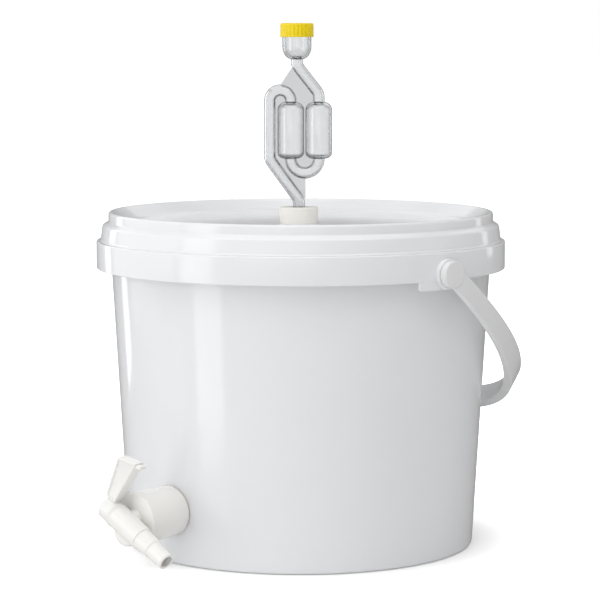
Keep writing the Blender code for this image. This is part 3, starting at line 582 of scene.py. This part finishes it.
def lid_piece():
    slope_length = math.hypot(SLOPE_WIDTH, SLOPE_RISE)
    under_r = LID_THICKNESS * SLOPE_RISE / slope_length
    under_z = LID_THICKNESS * SLOPE_WIDTH / slope_length
    roof_inner = SLOPE_RADIUS + under_r + SLOPE_WIDTH * (LID_ROOF - SLOPE_HEIGHT + under_z) / SLOPE_RISE
    piece = turned("lid_shell", rounded([
        (0.0, LID_FLOOR_TOP),
        (LID_CENTRE_RADIUS, LID_FLOOR_TOP),
        (LID_FLOOR_RADIUS - LID_RING_INSET, LID_FLOOR_TOP),
        (LID_FLOOR_RADIUS + TOE_REACH, LID_FLOOR_TOP + TOE_RISE, 0.0024),
        (SLOPE_RADIUS, SLOPE_HEIGHT, 0.0015),
        (CREST_INNER, CREST_INNER_HEIGHT, 0.0012),
        (CREST_RADIUS - 0.5 * CREST_WIDTH, CREST_HEIGHT, 0.0004),
        (LID_RIM_RADIUS, CREST_HEIGHT, CREST_EASE),
        (LID_RIM_RADIUS, RIM_FOOT, 0.0008),
        (STEP_RADIUS, STEP_HEIGHT, 0.0011),
        (EDGE_RADIUS, EDGE_BOTTOM + EDGE_HEIGHT, 0.0005),
        (EDGE_BEAD_RADIUS, EDGE_BOTTOM + EDGE_BEAD_HEIGHT, 0.0004),
        (EDGE_BEAD_RADIUS, EDGE_BOTTOM, 0.0003),
        (EDGE_RADIUS - LID_WALL, EDGE_BOTTOM, 0.0004),
        (STEP_RADIUS - LID_WALL, STEP_HEIGHT - LID_WALL, 0.0005),
        (LID_RIM_RADIUS - LID_WALL, RIM_FOOT - LID_WALL, 0.0005),
        (LID_RIM_RADIUS - LID_WALL, LID_ROOF, 0.0004),
        (roof_inner, LID_ROOF, 0.0003),
        (SLOPE_RADIUS + under_r, SLOPE_HEIGHT - under_z, 0.0010),
        (LID_FLOOR_RADIUS, LID_FLOOR_TOP - LID_THICKNESS, 0.0010),
        (LID_CENTRE_RADIUS, LID_FLOOR_TOP - LID_THICKNESS),
        (0.0, LID_FLOOR_TOP - LID_THICKNESS),
    ]), ROUND_STEPS)
    top = LID_FLOOR_TOP + MARGIN
    low = LID_FLOOR_TOP - LID_THICKNESS - MARGIN
    hole = turned("hole", [
        (0.0, top), (bung_radius(top) + GAP, top), (bung_radius(low) + GAP, low), (0.0, low),
    ], PART_STEPS, BUNG_PLACE)
    combined(piece, hole, "DIFFERENCE")
    finished(piece, "lid", "lid_plastic", LID_WHITE, "lid")


lid_piece()

# Airlock, in its own plane: x across, z up
TUBE = 0.0041
TUBE_BORE = TUBE - 0.0013
TUBE_EASE = 0.003
TUBE_EASE_STEPS = 6
TUBE_SHARE = 0.7
CHAMBER_RADIUS = 0.0092
CHAMBER_WALL = 0.0011
SHOULDER_HEIGHT = 0.0057
HEEL_HEIGHT = 0.0042
WEB_HALF = 0.0006
WEB_FOOT_REACH = 0.0046
WEB_FOOT_RISE = 0.0010
WEB_NECK_REACH = 0.0039
WEB_NECK_DROP = 0.0020
WEB_PEAK_REACH = 0.0065
WEB_PEAK_RISE = 0.0048
WEB_BEND_FROM = math.radians(-72.0)
WEB_BEND_STEPS = 12
LEFT_X = -0.0068
SPACING = 2.0 * CHAMBER_RADIUS + 0.0007
RIGHT_X = LEFT_X + SPACING
CHAMBER_BOTTOM = BUNG_TOP + 0.0329
CHAMBER_TOP = CHAMBER_BOTTOM + 0.0392
STEM_BOTTOM = BUNG_TOP - BUNG_HEIGHT - 0.0089
STEM_BEND = BUNG_TOP + 0.0051
ARCH_WIDTH = 0.0143
LEFT_TUBE_X = LEFT_X - ARCH_WIDTH
LEFT_TUBE_LOW = CHAMBER_BOTTOM - 0.0003
ARCH_X = LEFT_X - 0.5 * ARCH_WIDTH
ARCH_RADIUS = 0.5 * ARCH_WIDTH
ARCH_HEIGHT = CHAMBER_TOP + 0.0005
ENTRY_HEIGHT = CHAMBER_TOP + 0.0055
NECK_X = LEFT_X + 0.0042
NECK_BOTTOM = ENTRY_HEIGHT + 0.0190
NECK_JOINT = NECK_BOTTOM + 0.0040
CUP_RADIUS = 0.00985
CUP_WALL = 0.0011
CUP_STEPS = 14
CUP_STRAIGHT = NECK_JOINT + 0.0090
CUP_LEAD = CUP_STRAIGHT + 0.001
CUP_TOP = CUP_STRAIGHT + 0.0143
AIRLOCK_PLACE = frame_of(Vector((0.0, 0.0, 0.0)), ACROSS, AWAY, UP)
BEND_X = LEFT_X + 0.5 * SPACING
BEND_RADIUS = 0.5 * SPACING
BEND_STEPS = 24


def at_x(x):
    """A place on an upright axis, this far across in the airlock's plane."""
    return Matrix.Translation(ACROSS * x)


def bent(before, corner, after):
    return eased(before, corner, after, TUBE_EASE, TUBE_EASE_STEPS)


def tube(name, path, radius):
    """A round tube along (x, z) points in the airlock's plane, square to its path at each of them."""
    points = [Vector((x, 0.0, z)) for x, z in path]
    across = Vector((0.0, 1.0, 0.0))
    sections = []
    for i, point in enumerate(points):
        before = points[max(i - 1, 0)]
        after = points[min(i + 1, len(points) - 1)]
        into = (point - before).normalized() if i else (after - point).normalized()
        out = (after - point).normalized() if i < len(points) - 1 else into
        along = (into + out).normalized()
        side = along.cross(across)
        stretch = 1.0 / max(along.dot(into), 0.5)
        ring = []
        for k in range(TUBE_STEPS):
            turn = 2.0 * math.pi * (k + 0.5) / TUBE_STEPS
            within = side * (radius * math.cos(turn) * stretch)
            ring.append(point + within + across * (radius * math.sin(turn)))
        sections.append(ring)
    return lofted(name, sections, AIRLOCK_PLACE)


def chamber(name, x, inset, neck):
    """One of the airlock's two chambers, or its hollow where the inset is the wall."""
    top = CHAMBER_TOP - inset
    bottom = CHAMBER_BOTTOM + inset
    radius = CHAMBER_RADIUS - inset
    profile = [(0.0, top)]
    profile += quarter(neck, top, radius, CHAMBER_TOP - SHOULDER_HEIGHT, True)
    profile += quarter(radius, CHAMBER_BOTTOM + HEEL_HEIGHT, neck, bottom, False)
    profile.append((0.0, bottom))
    return turned(name, profile, AIRLOCK_STEPS, at_x(x))


def airlock_paths(overlap, cup_overlap):
    """The middle lines of the three tubes, reaching into the chambers and the cup by the overlaps."""
    cup_end = (NECK_X, NECK_JOINT + cup_overlap)
    neck_corner = (NECK_X, NECK_BOTTOM)
    entry_corner = (RIGHT_X, ENTRY_HEIGHT)
    chamber_end = (RIGHT_X, CHAMBER_TOP - overlap)
    inlet = [cup_end] + bent(cup_end, neck_corner, entry_corner)
    inlet += bent(neck_corner, entry_corner, chamber_end) + [chamber_end]
    bend = [(RIGHT_X, CHAMBER_BOTTOM + overlap)]
    bend += arc(BEND_X, CHAMBER_BOTTOM, BEND_RADIUS, 0.0, -math.pi, BEND_STEPS)
    bend.append((LEFT_X, CHAMBER_BOTTOM + overlap))
    outlet = [(LEFT_X, CHAMBER_TOP - overlap)]
    outlet += arc(ARCH_X, ARCH_HEIGHT, ARCH_RADIUS, 0.0, math.pi, BEND_STEPS)
    left_corner = (LEFT_TUBE_X, LEFT_TUBE_LOW)
    stem_corner = (STEM_X, STEM_BEND)
    stem_end = (STEM_X, STEM_BOTTOM)
    outlet += bent(outlet[-1], left_corner, stem_corner) + bent(left_corner, stem_corner, stem_end)
    outlet.append(stem_end)
    return {"inlet": inlet, "bend": bend, "outlet": outlet}


def web_outline():
    """The flat web that joins the airlock's tubes, in the airlock's plane."""
    arch_top = ARCH_HEIGHT + ARCH_RADIUS
    low_x = STEM_X + WEB_FOOT_REACH
    points = [
        (NECK_X, NECK_BOTTOM),
        (NECK_X - WEB_NECK_REACH, NECK_BOTTOM - WEB_NECK_DROP),
        (LEFT_X - WEB_PEAK_REACH, arch_top + WEB_PEAK_RISE),
        (ARCH_X, arch_top),
        (LEFT_TUBE_X, ARCH_HEIGHT),
        (LEFT_TUBE_X, LEFT_TUBE_LOW),
        (STEM_X, STEM_BEND),
        (low_x, STEM_BEND + WEB_FOOT_RISE),
        (low_x, CHAMBER_BOTTOM - BEND_RADIUS),
    ]
    points += arc(BEND_X, CHAMBER_BOTTOM, BEND_RADIUS, WEB_BEND_FROM, 0.0, WEB_BEND_STEPS)
    points += [(RIGHT_X, CHAMBER_TOP), (RIGHT_X, ENTRY_HEIGHT)]
    return points


def airlock_piece():
    hollow = CUP_RADIUS - CUP_WALL
    hollow_low = NECK_JOINT + CUP_WALL
    profile = [(0.0, hollow_low)]
    profile += quarter(TUBE_SHARE * TUBE_BORE, hollow_low, hollow, CUP_STRAIGHT, True, CUP_STEPS)
    profile += rounded([
        (hollow, CUP_LEAD),
        (hollow, CUP_TOP, 0.0003),
        (CUP_RADIUS, CUP_TOP, 0.0003),
        (CUP_RADIUS, CUP_LEAD),
    ])
    profile += quarter(CUP_RADIUS, CUP_STRAIGHT, TUBE_SHARE * TUBE, NECK_JOINT, False, CUP_STEPS)
    profile.append((0.0, NECK_JOINT))
    piece = turned("airlock_clear_body", profile, AIRLOCK_STEPS, at_x(NECK_X))
    overlap = 0.5 * TUBE
    outer = airlock_paths(overlap, 0.5 * CUP_WALL)
    inner = airlock_paths(overlap + CHAMBER_WALL, CUP_WALL + MARGIN)
    inner["outlet"][-1] = (STEM_X, STEM_BOTTOM - MARGIN)
    for key in ("inlet", "bend", "outlet"):
        combined(piece, tube("tube_" + key, outer[key], TUBE))
    for x in (LEFT_X, RIGHT_X):
        combined(piece, chamber("chamber", x, 0.0, TUBE_SHARE * TUBE))
    place = AIRLOCK_PLACE @ Matrix.Rotation(0.5 * math.pi, 4, "X")
    combined(piece, prism("web", web_outline(), -WEB_HALF, WEB_HALF, place))
    for key in ("inlet", "bend", "outlet"):
        combined(piece, tube("bore_" + key, inner[key], TUBE_BORE), "DIFFERENCE")
    for x in (LEFT_X, RIGHT_X):
        combined(piece, chamber("hollow", x, CHAMBER_WALL, TUBE_SHARE * TUBE_BORE), "DIFFERENCE")
    finished(piece, "airlock", "clear_plastic", CLEAR, "airlock_body")


airlock_piece()


# Bung
def bung_piece():
    piece = turned("bung_rubber_piece", rounded([
        (TUBE + GAP, BUNG_TOP, 0.0004),
        (BUNG_RADIUS, BUNG_TOP, 0.0009),
        (BUNG_RADIUS - BUNG_TAPER, BUNG_TOP - BUNG_HEIGHT, 0.0009),
        (TUBE + GAP, BUNG_TOP - BUNG_HEIGHT, 0.0004),
    ], True), PART_STEPS, BUNG_PLACE, True)
    finished(piece, "lid", "bung_rubber", CREAM, "airlock_bung")


bung_piece()


# Cap
CAP_ROOF = 0.0012
CAP_DEPTH = 0.0080
CAP_WALL = 0.00125
FLUTES = 26
FLUTE_STEPS = 8
FLUTE_DEPTH = 0.0004


def cap_piece():
    top = CUP_TOP + GAP + CAP_ROOF
    bottom = CUP_TOP - CAP_DEPTH
    outside = CUP_RADIUS + GAP + CAP_WALL
    levels = [
        (bottom, -0.0003),
        (bottom + 0.0003, 0.0),
        (top - 0.0013, 0.0),
        (top - 0.0008, -0.00013),
        (top - 0.00035, -0.00045),
        (top, -0.0011),
    ]
    sections = []
    for z, inset in levels:
        ring = []
        for i in range(FLUTES * FLUTE_STEPS):
            turn = 2.0 * math.pi * i / (FLUTES * FLUTE_STEPS)
            wave = 0.5 - 0.5 * math.cos(FLUTES * turn)
            radius = outside + inset - FLUTE_DEPTH * wave
            ring.append((radius * math.cos(turn), radius * math.sin(turn), z))
        sections.append(ring)
    piece = lofted("cap_fluted", sections, at_x(NECK_X))
    hollow = rod("hollow", CUP_RADIUS + GAP, bottom - MARGIN, CUP_TOP + GAP, PART_STEPS, at_x(NECK_X))
    combined(piece, hollow, "DIFFERENCE")
    finished(piece, "cap", "cap_plastic", YELLOW, "airlock_cap")


cap_piece()

# Handle, in its own plane: x along the pivot, y towards its middle, z across the strap
HANDLE_THICKNESS = 0.0043
HANDLE_HALF = BOSS_END + GAP + HANDLE_THICKNESS
HANDLE_INNER_HALF = BOSS_END + GAP
HANDLE_DEPTH = SKIRT_RADIUS + 0.0317
HANDLE_INNER_DEPTH = HANDLE_DEPTH - HANDLE_THICKNESS
STRAP_END_WIDTH = 0.0126
STRAP_WIDTH = 0.0163
STRAP_STEPS = 160
FULL_WIDTH_FROM = 0.8
OUTER_POWER = 0.857
INNER_POWER = 0.89
WALL_CLEARANCE = 0.0020
HUB_RADIUS = 0.0090
HUB_RISE = 0.0005
PEG_HEAD_CLEARANCE = 0.0006
PEG_HEAD_REACH = 0.0010
PEG_HEAD_LENGTH = 0.0024


def hang_angle():
    """How far the handle hangs below level, where its strap comes close to the wall."""
    half = 0.5 * STRAP_WIDTH
    level_part = HANDLE_INNER_DEPTH + DRAFT * half
    drop_part = DRAFT * HANDLE_INNER_DEPTH - half
    near_wall = wall_radius(PIVOT) + WALL_CLEARANCE
    return math.atan2(drop_part, level_part) + math.acos(near_wall / math.hypot(level_part, drop_part))


def strap_section(turn):
    """The strap's cross-section where its rounded arch has turned by this angle."""
    c = math.cos(turn)
    s = math.sin(turn)
    shape_x = math.copysign(abs(c) ** OUTER_POWER, c)
    shape_y = abs(s) ** OUTER_POWER
    inner_x = math.copysign(abs(c) ** INNER_POWER, c)
    inner_y = abs(s) ** INNER_POWER
    widening = min(shape_y / FULL_WIDTH_FROM, 1.0)
    half = 0.5 * (STRAP_END_WIDTH + (STRAP_WIDTH - STRAP_END_WIDTH) * widening)
    outer = Vector((HANDLE_HALF * shape_x, HANDLE_DEPTH * shape_y, 0.0))
    inner = Vector((HANDLE_INNER_HALF * inner_x, HANDLE_INNER_DEPTH * inner_y, 0.0))
    inward = inner - outer
    thickness = inward.length
    corners = ((0.0, half), (0.0, -half), (thickness, -half), (thickness, half))
    flat = rounded([(*corner, 0.0008) for corner in corners], True)
    inward.normalize()
    return [outer + inward * a + UP * b for a, b in flat]


def handle_piece():
    place = Matrix.Translation(UP * PIVOT) @ Matrix.Rotation(-hang_angle(), 4, "X")
    sections = [strap_section(math.pi * i / STRAP_STEPS) for i in range(STRAP_STEPS + 1)]
    piece = lofted("handle_bail", sections, place)
    hub_outer = HANDLE_HALF + HUB_RISE
    head = SKIRT_RADIUS - SKIRT_WALL - PEG_HEAD_CLEARANCE
    for side in (1.0, -1.0):
        hub = turned("hub", rounded([
            (0.0, hub_outer),
            (HUB_RADIUS - 0.0009, hub_outer, 0.0003),
            (HUB_RADIUS, HANDLE_HALF, 0.0004),
            (HUB_RADIUS, HANDLE_INNER_HALF, 0.0004),
            (PEG_RADIUS, HANDLE_INNER_HALF),
            (PEG_RADIUS, head),
            (PEG_RADIUS + PEG_HEAD_REACH, head, 0.0003),
            (PEG_RADIUS, head - PEG_HEAD_LENGTH, 0.0006),
            (0.0, head - PEG_HEAD_LENGTH),
        ]), PART_STEPS, side_frame(side))
        combined(piece, hub)
    finished(piece, "handle", "handle_plastic", HANDLE_WHITE, "handle")


handle_piece()


# Tap
def wall_shape(offset):
    """The bucket's wall round the tap, grown by an offset and filled to its axis."""
    high = 0.08
    return turned("wall_shape", [
        (0.0, high), (wall_radius(high) + offset, high), (wall_radius(0.0) + offset, 0.0), (0.0, 0.0),
    ], ROUND_STEPS, phase=ROUND_PHASE)


def outer_washer_piece():
    piece = turned("tap_washer_soft", [
        (TAIL_RADIUS + GAP, MARGIN),
        (COLLAR_WALL_RADIUS - WASHER_INSET, MARGIN),
        (COLLAR_WALL_RADIUS - WASHER_INSET, -MARGIN),
        (TAIL_RADIUS + GAP, -MARGIN),
    ], PART_STEPS, TAP_FRAME, True)
    combined(piece, wall_shape(GAP + WASHER_THICKNESS), "INTERSECT")
    combined(piece, wall_shape(GAP), "DIFFERENCE")
    finished(piece, "bucket", "washer_rubber", BEIGE, "tap_outer_washer")


def tap_body_piece():
    front_radius = COLLAR_WALL_RADIUS + COLLAR_FLARE
    piece = turned("tap_moulding", rounded([
        (0.0, COLLAR_FRONT),
        (front_radius, COLLAR_FRONT, 0.0010),
        (COLLAR_WALL_RADIUS, -MARGIN),
        (0.0, -MARGIN),
    ]), PART_STEPS, TAP_FRAME)
    combined(piece, wall_shape(COLLAR_CLEARANCE), "DIFFERENCE")
    combined(piece, rod("tail", TAIL_RADIUS, TAIL_END, 0.5 * COLLAR_FRONT, PART_STEPS, TAP_FRAME))
    barrel = turned("barrel", rounded([
        (0.0, SPOUT_END),
        (SPOUT_END_RADIUS, SPOUT_END, 0.0005),
        (SPOUT_START_RADIUS, BARB_END, 0.0002),
        (BARB_END_RADIUS, BARB_END, 0.0003),
        (BARB_START_RADIUS, BARREL_END, 0.0002),
        (BARREL_END_RADIUS, BARREL_END, 0.0004),
        (BARREL_START_RADIUS, BARREL_START + FLANGE_LENGTH, 0.0002),
        (FLANGE_RADIUS, BARREL_START + FLANGE_LENGTH, 0.0002),
        (FLANGE_RADIUS, BARREL_START, 0.0006),
        (0.0, BARREL_START),
    ]), PART_STEPS, SPOUT_FRAME)
    combined(piece, barrel)
    bore_end = COLLAR_FRONT - COLLAR_FACE
    combined(piece, rod("neck", NECK_RADIUS, COLLAR_FRONT - NECK_SINK, SPOUT_OUT, BORE_STEPS, TAP_FRAME))
    boss_place = Matrix.Translation(SPOUT_DOWN * BULGE_ALONG - LEVER_UP * BULGE_DROP) @ TAP_FRAME
    boss = turned("boss", rounded([
        (0.0, SPOUT_OUT + BULGE_REACH),
        (BULGE_RADIUS, SPOUT_OUT + BULGE_REACH, 0.0026),
        (BULGE_RADIUS, SPOUT_OUT),
        (0.0, SPOUT_OUT),
    ]), PART_STEPS, boss_place, phase=PART_PHASE)
    combined(piece, boss)
    cuts = [
        rod("tail_bore", TAIL_RADIUS - TAIL_WALL, TAIL_END - MARGIN, bore_end, PART_STEPS, TAP_FRAME),
        rod("inlet_bore", PORT_RADIUS, bore_end - MARGIN, SPOUT_OUT, HOLE_STEPS, TAP_FRAME),
        rod("plug_seat", BARREL_END_RADIUS - PLUG_WALL, BARREL_START - MARGIN, BARREL_END - PLUG_SHORT + GAP,
            PART_STEPS, SPOUT_FRAME),
        rod("spout_bore", SPOUT_BORE, 0.0, SPOUT_END + MARGIN, BORE_STEPS, SPOUT_FRAME),
    ]
    for cut in cuts:
        combined(piece, cut, "DIFFERENCE")
    finished(piece, "bucket", "tap_plastic", TAP_WHITE, "tap_body")


# Plug and lever: heights are from the spout's axis, and front and back are offsets from it
HEAD_INSET = 0.0005
HEAD_LENGTH = 0.0096
HEAD_RADIUS = FLANGE_RADIUS - HEAD_INSET
HEAD_START = BARREL_START - GAP
HEAD_END = HEAD_START - HEAD_LENGTH
PLUG_BORE_REACH = 0.0070
PLUG_RADIUS = BARREL_END_RADIUS - PLUG_WALL - GAP
PLUG_END = BARREL_END - PLUG_SHORT
LEVER_SINK = 0.0002
LEVER_FOOT = HEAD_RADIUS - LEVER_SINK
FOOT_REACH = 0.0066
FOOT_WIDTH = 0.0091
TOP_WIDTH = 0.0165
TOP_RISE = 0.0056
LEVER_LENGTH = 0.0304
FOOT_RIGHT = HEAD_END + FOOT_REACH
FOOT_LEFT = FOOT_RIGHT - FOOT_WIDTH
TOP_RIGHT = FOOT_LEFT + TOP_WIDTH
TOP_LEFT_HEIGHT = LEVER_FOOT + LEVER_LENGTH
TOP_RIGHT_HEIGHT = TOP_LEFT_HEIGHT + TOP_RISE
NECK_STEP = 0.0018
NECK_LEFT = FOOT_LEFT + NECK_STEP
NECK_INSET = 0.0008
LEVER_FRONT = 0.0025
BACK_TOP = -0.0050
BACK_FOOT = -0.0066
PANEL_RIM = 0.0016
PANEL_CORNER = 0.0024
PANEL_DEPTH = 0.0010
LIP_HALF = 0.0040
LIP_THICKNESS = 0.0028
LIP_WIDTH = 0.0060
LIP_DROP = 0.0010
LIP_INSET = 0.0005


def slab(name, corners, low, high):
    """A block over (along, height) corners, between a low and a high offset from the spout's axis at each."""
    front = [(h, f, a) for (a, h), f in zip(corners, high)]
    back = [(h, b, a) for (a, h), b in zip(corners, low)]
    return lofted(name, [back, front], SPOUT_FRAME)


def plug_piece():
    piece = turned("tap_plug_lever", rounded([
        (0.0, PLUG_END),
        (PLUG_RADIUS, PLUG_END, 0.0004),
        (PLUG_RADIUS, HEAD_START),
        (HEAD_RADIUS, HEAD_START, 0.0006),
        (HEAD_RADIUS, HEAD_END, 0.0011),
        (0.0, HEAD_END),
    ]), PART_STEPS, SPOUT_FRAME)
    blade = slab("blade", [
        (FOOT_LEFT, LEVER_FOOT),
        (FOOT_RIGHT, LEVER_FOOT),
        (TOP_RIGHT, TOP_RIGHT_HEIGHT),
        (FOOT_LEFT, TOP_LEFT_HEIGHT),
    ], (BACK_FOOT, BACK_FOOT, BACK_TOP, BACK_TOP), (LEVER_FRONT,) * 4)
    panel = slab("panel", [
        (FOOT_LEFT + PANEL_RIM, LEVER_FOOT + PANEL_RIM),
        (FOOT_RIGHT - PANEL_RIM, LEVER_FOOT + PANEL_RIM),
        (TOP_RIGHT - PANEL_CORNER, TOP_RIGHT_HEIGHT - PANEL_CORNER),
        (FOOT_LEFT + PANEL_RIM, TOP_LEFT_HEIGHT - PANEL_RIM),
    ], (LEVER_FRONT - PANEL_DEPTH,) * 4, (LEVER_FRONT + MARGIN,) * 4)
    combined(blade, panel, "DIFFERENCE")
    softened(blade, 0.00035)
    neck = slab("neck", [
        (NECK_LEFT, 0.5 * HEAD_RADIUS),
        (FOOT_RIGHT, 0.5 * HEAD_RADIUS),
        (FOOT_RIGHT, LEVER_FOOT + NECK_INSET),
        (NECK_LEFT, LEVER_FOOT + NECK_INSET),
    ], (BACK_FOOT + NECK_INSET,) * 4, (LEVER_FRONT - NECK_INSET,) * 4)
    lip_back = BACK_TOP + LIP_INSET
    lip_top = TOP_RIGHT_HEIGHT - LIP_DROP
    lip_climb = LIP_HALF * TOP_RISE / TOP_WIDTH
    lip = slab("lip", [
        (TOP_RIGHT - LIP_HALF, lip_top - lip_climb - LIP_THICKNESS),
        (TOP_RIGHT + LIP_HALF, lip_top + lip_climb - LIP_THICKNESS),
        (TOP_RIGHT + LIP_HALF, lip_top + lip_climb),
        (TOP_RIGHT - LIP_HALF, lip_top - lip_climb),
    ], (lip_back,) * 4, (lip_back + LIP_WIDTH,) * 4)
    softened(lip, 0.0008, 4)
    for part in (neck, blade, lip):
        combined(piece, part)
    bore = rod("bore", SPOUT_BORE, -PLUG_BORE_REACH, PLUG_END + MARGIN, BORE_STEPS, SPOUT_FRAME)
    combined(piece, bore, "DIFFERENCE")
    port_frame = frame_of(SPOUT_CENTRE, SPOUT_DOWN, TAP_OUT, -LEVER_UP)
    port = rod("port", PORT_RADIUS, 0.0, PLUG_RADIUS + MARGIN, HOLE_STEPS, port_frame)
    combined(piece, port, "DIFFERENCE")
    finished(piece, "lever", "plug_plastic", PLUG_WHITE, "tap_plug")


outer_washer_piece()
tap_body_piece()
plug_piece()

# Hidden solids that stay as they are
for node, material in (("lid_gasket", GASKET), ("tap_inner_washer", BEIGE), ("tap_back_nut", TAP_WHITE)):
    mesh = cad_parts[node].data
    mesh.materials.clear()
    mesh.materials.append(material)

# Camera at the photograph's place
CAMERA_DISTANCE = 1.6848
CAMERA_HEIGHT = 0.3471
CAMERA_TILT = 0.1067
camera_data = bpy.data.cameras.new("camera")
camera_data.sensor_width = 36.0
camera_data.lens = 147.53
camera_data.shift_x = -0.00122
camera_data.clip_end = 50.0
camera = bpy.data.objects.new("camera", camera_data)
camera.location = AWAY * -CAMERA_DISTANCE + UP * CAMERA_HEIGHT
camera.rotation_euler = (0.5 * math.pi - CAMERA_TILT, 0.0, VIEW_TURN)
bpy.context.scene.collection.objects.link(camera)
bpy.context.scene.camera = camera


# Floor
FLOOR_HALF = 30.0
FLOOR_LEVEL = -0.0003


def floor_material():
    """Matt white with a faint shadow near the bucket, partly real and partly painted as a glow that is dimmer
    there, white further out, and left out of reflections.
    """
    made = bpy.data.materials.new("studio_floor")
    made.use_nodes = True
    nodes = made.node_tree.nodes
    links = made.node_tree.links
    nodes.clear()
    output = nodes.new("ShaderNodeOutputMaterial")
    matt = nodes.new("ShaderNodeBsdfDiffuse")
    matt.inputs["Color"].default_value = (0.9, 0.9, 0.9, 1.0)
    where = nodes.new("ShaderNodeTexCoord")
    reach = nodes.new("ShaderNodeVectorMath")
    reach.operation = "LENGTH"
    # Painted shadow: the floor's glow is dimmed near the bucket's base and rises to full white 0.2 m out.
    spread = nodes.new("ShaderNodeMapRange")
    spread.inputs["From Min"].default_value = 0.119
    spread.inputs["From Max"].default_value = 0.2
    spread.inputs["To Min"].default_value = 0.18
    spread.inputs["To Max"].default_value = 1.0
    painted_shade_glow = nodes.new("ShaderNodeEmission")
    links.new(where.outputs["Object"], reach.inputs[0])
    links.new(reach.outputs["Value"], spread.inputs["Value"])
    links.new(spread.outputs["Result"], painted_shade_glow.inputs["Strength"])
    both = nodes.new("ShaderNodeAddShader")
    links.new(matt.outputs["BSDF"], both.inputs[0])
    links.new(painted_shade_glow.outputs["Emission"], both.inputs[1])
    path = nodes.new("ShaderNodeLightPath")
    clear = nodes.new("ShaderNodeBsdfTransparent")
    choose_camera = nodes.new("ShaderNodeMixShader")
    links.new(path.outputs["Is Camera Ray"], choose_camera.inputs["Fac"])
    links.new(matt.outputs["BSDF"], choose_camera.inputs[1])
    links.new(both.outputs["Shader"], choose_camera.inputs[2])
    choose_glossy = nodes.new("ShaderNodeMixShader")
    unseen = nodes.new("ShaderNodeMath")
    unseen.operation = "MAXIMUM"
    links.new(path.outputs["Is Glossy Ray"], unseen.inputs[0])
    links.new(path.outputs["Is Shadow Ray"], unseen.inputs[1])
    links.new(unseen.outputs["Value"], choose_glossy.inputs["Fac"])
    links.new(choose_camera.outputs["Shader"], choose_glossy.inputs[1])
    links.new(clear.outputs["BSDF"], choose_glossy.inputs[2])
    links.new(choose_glossy.outputs["Shader"], output.inputs["Surface"])
    return made


floor_mesh = bpy.data.meshes.new("floor")
floor_corners = ((-1.0, -1.0), (1.0, -1.0), (1.0, 1.0), (-1.0, 1.0))
floor_points = [(x * FLOOR_HALF, y * FLOOR_HALF, FLOOR_LEVEL) for x, y in floor_corners]
floor_mesh.from_pydata(floor_points, [], [(0, 1, 2, 3)])
floor_mesh.materials.append(floor_material())
linked("floor", floor_mesh)


# Light: name, azimuth and elevation in degrees, distance, width, height and radiance
SOFTBOXES = (
    ("strip_left", -58.0, 6.0, 2.2, 0.75, 2.4, 2.2),
    ("left", -100.0, 12.0, 2.6, 2.6, 2.4, 0.7),
    ("front_high", 8.0, 45.0, 2.4, 2.2, 1.2, 0.9),
    ("front_low", -10.0, 12.0, 2.6, 2.0, 1.2, 0.6),
    ("overhead", 5.0, 76.0, 2.2, 3.4, 2.0, 1.5),
    ("behind", 180.0, 35.0, 2.6, 2.8, 1.0, 0.6),
    ("rim_left", -134.0, 10.0, 2.4, 0.35, 2.0, 2.2),
    ("rim_right", 128.0, 12.0, 2.4, 0.3, 1.2, 1.5),
    ("right", 80.0, 12.0, 2.4, 0.8, 1.8, 0.4),
)
AIM_HEIGHT = 0.12


def softbox(name, azimuth, elevation, distance, width, height, radiance):
    """An area light aimed at the bucket. The azimuth is counted from the camera, positive to its right."""
    turn = math.radians(azimuth)
    rise = math.radians(elevation)
    level = (AWAY * -math.cos(turn) + ACROSS * math.sin(turn)) * math.cos(rise)
    aim = Vector((0.0, 0.0, AIM_HEIGHT))
    light = bpy.data.lights.new(name, "AREA")
    light.shape = "RECTANGLE"
    light.size = width
    light.size_y = height
    light.energy = radiance * math.pi * width * height
    made = bpy.data.objects.new(name, light)
    made.location = aim + (level + UP * math.sin(rise)) * distance
    made.rotation_euler = (made.location - aim).to_track_quat("Z", "Y").to_euler()
    bpy.context.scene.collection.objects.link(made)


for row in SOFTBOXES:
    softbox(*row)

# Surroundings: white to the eye and through clear plastic, a dimmer warm white as light
world = bpy.data.worlds.new("studio")
bpy.context.scene.world = world
world.use_nodes = True
nodes = world.node_tree.nodes
links = world.node_tree.links
nodes.clear()
output = nodes.new("ShaderNodeOutputWorld")
plain = nodes.new("ShaderNodeBackground")
plain.inputs["Color"].default_value = (1.0, 1.0, 1.0, 1.0)
ambient = nodes.new("ShaderNodeBackground")
ambient.inputs["Color"].default_value = (1.0, 0.98, 0.95, 1.0)
ambient.inputs["Strength"].default_value = 0.26
path = nodes.new("ShaderNodeLightPath")
straight = nodes.new("ShaderNodeMath")
straight.operation = "MAXIMUM"
links.new(path.outputs["Is Camera Ray"], straight.inputs[0])
links.new(path.outputs["Is Transmission Ray"], straight.inputs[1])
choose = nodes.new("ShaderNodeMixShader")
links.new(straight.outputs["Value"], choose.inputs["Fac"])
links.new(ambient.outputs["Background"], choose.inputs[1])
links.new(plain.outputs["Background"], choose.inputs[2])
links.new(choose.outputs["Shader"], output.inputs["Surface"])

bpy.context.scene.view_settings.view_transform = "Standard"
